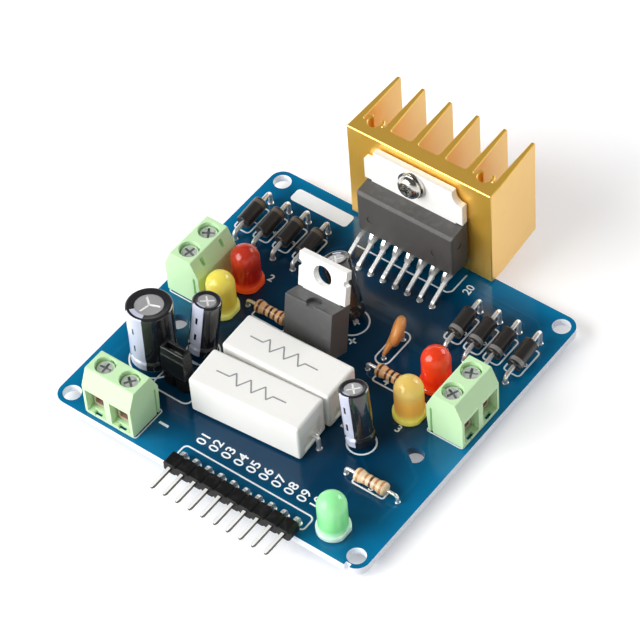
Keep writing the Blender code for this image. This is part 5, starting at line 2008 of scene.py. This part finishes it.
@dataclass
class CircuitBoard(Assembly):
    """The board: masked laminate with uncoated edges, covered copper, pads, solder and lead ends.

    A track is its path and its width.
    """

    edge: float = 2.45
    corner: float = 2.45
    hole: float = 1.6
    nick: float = HOLE_PITCH[0] - 0.2
    nick_half: float = 0.5
    nick_depth: float = 0.7
    track_t: float = 0.012
    spare: tuple[Flat, ...] = ((HOLE_PITCH[0] - 4.2, 21.3), (4.9, 21.8))
    upper_tracks: tuple[tuple[tuple[Flat, ...], float], ...] = (
        (((40.5, 55.6), (54.2, 55.6), (58.4, 51.5), (58.4, 44.5)), 0.35),
        (((40.5, 54.6), (50.0, 54.6), (53.0, 53.4)), 0.6),
        (((22.0, 43.2), (36.0, 43.2), (40.0, 39.4), (44.6, 39.4)), 1.3),
        (((30.0, 41.4), (35.2, 41.4)), 0.8),
        (((20.5, 8.2), (20.5, 6.4), (16.0, 6.4)), 0.5),
        (((49.5, 8.0), (49.5, 14.5), (46.5, 16.5)), 0.5),
        (((57.2, 7.0), (57.2, 17.5), (50.0, 22.5)), 0.7),
        (((2.0, 25.3), (8.8, 25.3), (10.8, 23.4)), 0.8),
        (((0.5, 20.0), (0.5, 8.0)), 0.7),
        (((19.0, 38.5), (16.2, 41.0), (16.2, 49.0), (18.0, 51.0)), 0.5),
    )
    lower_tracks: tuple[tuple[tuple[Flat, ...], float], ...] = (
        (((13.7, 42.0), (13.7, 30.0), (6.0, 22.0)), 1.6),
        (((5.3, 42.0), (1.0, 37.0), (1.0, 29.0)), 1.8),
        (((45.2, 42.0), (54.0, 34.0), (54.4, 29.0)), 1.8),
        (((28.0, 48.0), (28.0, 30.0), (18.0, 14.0)), 1.2),
        (((9.0, 4.0), (24.0, 7.0), (40.0, 13.0), (40.0, 26.0)), 1.6),
        (((46.8, 0.2), (50.8, 4.0), (57.0, 12.2), (57.0, 26.0)), 1.0),
    )

    def outline(self) -> list[Flat]:
        """Gives the board's edge, with its nick.

        Returns:
            The edge's corners in order.
        """
        low, r = -self.edge, self.corner
        high_x, high_y = HOLE_PITCH[0] + self.edge, HOLE_PITCH[1] + self.edge
        left, right, deep = self.nick - self.nick_half, self.nick + self.nick_half, low + self.nick_depth
        points = arc((low + r, low + r), r, 180, 270, 10)
        points += [(left, low), (left, deep), (right, deep), (right, low + 0.02)]
        points += arc((high_x - r, low + r), r, 277, 360, 9)
        return points + arc((high_x - r, high_y - r), r, 0, 90, 10) + arc((low + r, high_y - r), r, 90, 180, 10)

    def build(self) -> None:
        """Makes the laminate, the copper, the pads and the solder joints."""
        corners = [(x, y) for x in (0, HOLE_PITCH[0]) for y in (0, HOLE_PITCH[1])]
        holes = [ring(centre, self.hole) for centre in (*corners, *self.spare)]
        bm = soften(extruded(self.outline(), -BOARD_T, 0.0, Axis.Z, holes), 0.06, 2, 50)
        # Walls of the spare holes keep the dark mask colour as painted shade inside them; the other edges show the
        # laminate.
        for face in bm.faces:
            near = any(math.dist(face.calc_center_median()[:2], centre) < self.hole + 0.1 for centre in self.spare)
            if abs(face.normal.z) < 0.5 and not near:
                face.material_index = 1
        self.shop.piece("board_laminate", bm, ["solder_mask_blue", "laminate_edge"], "board_blue", ["circuit_board"])
        tracks = [(*track, 0.0) for track in self.upper_tracks]
        tracks += [(*track, -BOARD_T - self.track_t) for track in self.lower_tracks]
        parts = [line(path, width, floor, self.track_t, bend=1.0) for path, width, floor in tracks]
        self.shop.piece("board_tracks", merged(*parts), ["covered_copper"], "board_blue", smooth=60)
        joints = [shifted(bm, x, y) for x, y, radius in self.shop.leads for bm in self._joint(radius)]
        self.shop.piece("board_solder", merged(*joints), ["solder"], "tinned_metal", smooth=60)

    @staticmethod
    def _joint(radius: float) -> tuple[BMesh, BMesh]:
        """Makes a lead's solder: a low fillet on top, and a cone round the clipped end below.

        Args:
            radius: The lead's radius.

        Returns:
            Both shapes, on the lead's axis.
        """
        top = radius + 0.04
        fillet = [(0.0, 0.13), (top, 0.13), (top + 0.04, 0.07), (top + 0.12, 0.02), (0.0, 0.02)]
        wide = max(0.95, radius + 0.3)
        root = -BOARD_T
        joint = [(0.0, root - 1.5), (0.3, root - 1.5), (0.35, root - 1.42), (0.36, root - 1.05), (0.45, root - 0.8)]
        joint += [(0.62, root - 0.5), (wide * 0.85, root - 0.2), (wide, root - 0.03), (wide, root + 0.02)]
        return turned(fillet, 16), turned([*joint, (0.0, root + 0.02)], 18)


# ---------------------------------------------------------------- studio


@dataclass
class Studio:
    """A pale floor, two soft boxes, even light from all round and the photograph's camera."""

    key: tuple[Point, float, float] = ((-0.44, -0.74, 0.5), 13.0, 0.8)
    back: tuple[Point, float, float] = ((0.25, 0.85, 0.46), 3.4, 0.5)
    ambient: float = 0.34
    floor_size: float = 3.0
    floor_colour: Colour = (0.86, 0.86, 0.87)
    floor_glow: float = 0.3
    lens: float = 178.34780781161413
    camera_place: Point = (0.21840356499091945, -0.25571622731467847, 0.40353503871446067)
    camera_turn: Point = (0.705468842980644, 0.055336519994747535, 0.6454911888465534)

    def build(self) -> None:
        """Sets the view transform and makes the floor, the lights, the world and the camera."""
        bpy.context.scene.view_settings.view_transform = "Standard"
        self._floor()
        self._world()
        self._lamp("key_softbox", *self.key)
        self._lamp("back_softbox", *self.back)
        self._camera()

    def _floor(self) -> None:
        """Lays a wide pale floor that looks white and keeps the shadow."""
        bm = bmesh.new()
        bmesh.ops.create_grid(bm, x_segments=4, y_segments=4, size=self.floor_size)
        mesh = meshed(bm, "floor")
        floor = shown("floor", mesh)
        made = bpy.data.materials.new("floor_white")
        made.use_nodes = True
        tree = Tree(made.node_tree)
        path = tree.add("ShaderNodeLightPath").outputs
        seen = tree.maths("MAXIMUM", path["Is Camera Ray"], path["Is Glossy Ray"])
        seen = tree.maths("MAXIMUM", seen, path["Is Transmission Ray"])
        sockets = {
            "Base Color": (*self.floor_colour, 1.0),
            "Roughness": 0.9,
            "Emission Color": (1.0, 1.0, 1.0, 1.0),
            "Emission Strength": tree.maths("MULTIPLY", seen, self.floor_glow),
        }
        tree.fill(made.node_tree.nodes["Principled BSDF"], sockets)
        mesh.materials.append(made)

    def _world(self) -> None:
        """Makes even light, with a white horizon and a darker ceiling in reflections."""
        world = bpy.data.worlds.new("studio")
        bpy.context.scene.world = world
        world.use_nodes = True
        tree = Tree(world.node_tree)
        world.node_tree.nodes.clear()
        rise = tree.split(tree.add("ShaderNodeTexCoord").outputs["Generated"])[2]
        fade = {0: rise, 1: 0.2, 2: 0.62, 3: 1.0, 4: 0.1}
        high = tree.add("ShaderNodeMapRange", fade, interpolation_type="SMOOTHSTEP").outputs[0]
        path = tree.add("ShaderNodeLightPath").outputs
        bounced = tree.maths("MAXIMUM", path["Is Glossy Ray"], path["Is Transmission Ray"])
        bright = tree.maths("MULTIPLY_ADD", bounced, tree.maths("SUBTRACT", high, self.ambient), self.ambient)
        strength = tree.maths("MAXIMUM", bright, path["Is Camera Ray"])
        back = tree.add("ShaderNodeBackground", {"Color": (1, 1, 1, 1), "Strength": strength})
        tree.add("ShaderNodeOutputWorld", {"Surface": back.outputs[0]})

    @staticmethod
    def _lamp(name: str, way: Point, power: float, size: float) -> None:
        """Hangs a square soft box one metre away, facing the module.

        Args:
            name: Its name.
            way: Its direction from the module.
            power: Its power in watts.
            size: The length of its sides.
        """
        light = bpy.data.lights.new(name, "AREA")
        light.energy = power
        light.size = size
        lamp = shown(name, light)
        lamp.location = Vector(way).normalized()
        lamp.rotation_euler = Vector(way).to_track_quat("Z", "Y").to_euler()

    def _camera(self) -> None:
        """Stands the camera where the photograph was taken from."""
        data = bpy.data.cameras.new("camera")
        data.lens = self.lens
        data.sensor_width = 36.0
        data.clip_start = 0.01
        data.clip_end = 20.0
        camera = shown("camera", data)
        camera.location = self.camera_place
        camera.rotation_euler = self.camera_turn
        bpy.context.scene.camera = camera


def main() -> None:
    """Builds every sub-assembly in order, then the studio."""
    logging.basicConfig(level=logging.INFO, format="%(message)s")
    effects = SharedEffects()
    shop = Workshop({finish.name: finish.material(effects) for finish in FINISHES})
    blocks = [
        TerminalBlock(shop, "front", (9.55, -1.85), 0.0),
        TerminalBlock(shop, "left", (-0.95, 31.5), -90.0),
        TerminalBlock(shop, "right", (HOLE_PITCH[0] + 1.65, 31.5), 90.0),
    ]
    before = (Heatsink, DriverChip, Regulator, PinHeader, Jumper)
    after = (DiodeRow, AxialResistors, Lamps, Capacitors, DiscCapacitor, CeramicResistors, CircuitBoard, Legend)
    for part in (*(kind(shop) for kind in before), *blocks, *(kind(shop) for kind in after)):
        part.build()
    Studio().build()


if __name__ == "__main__":
    main()
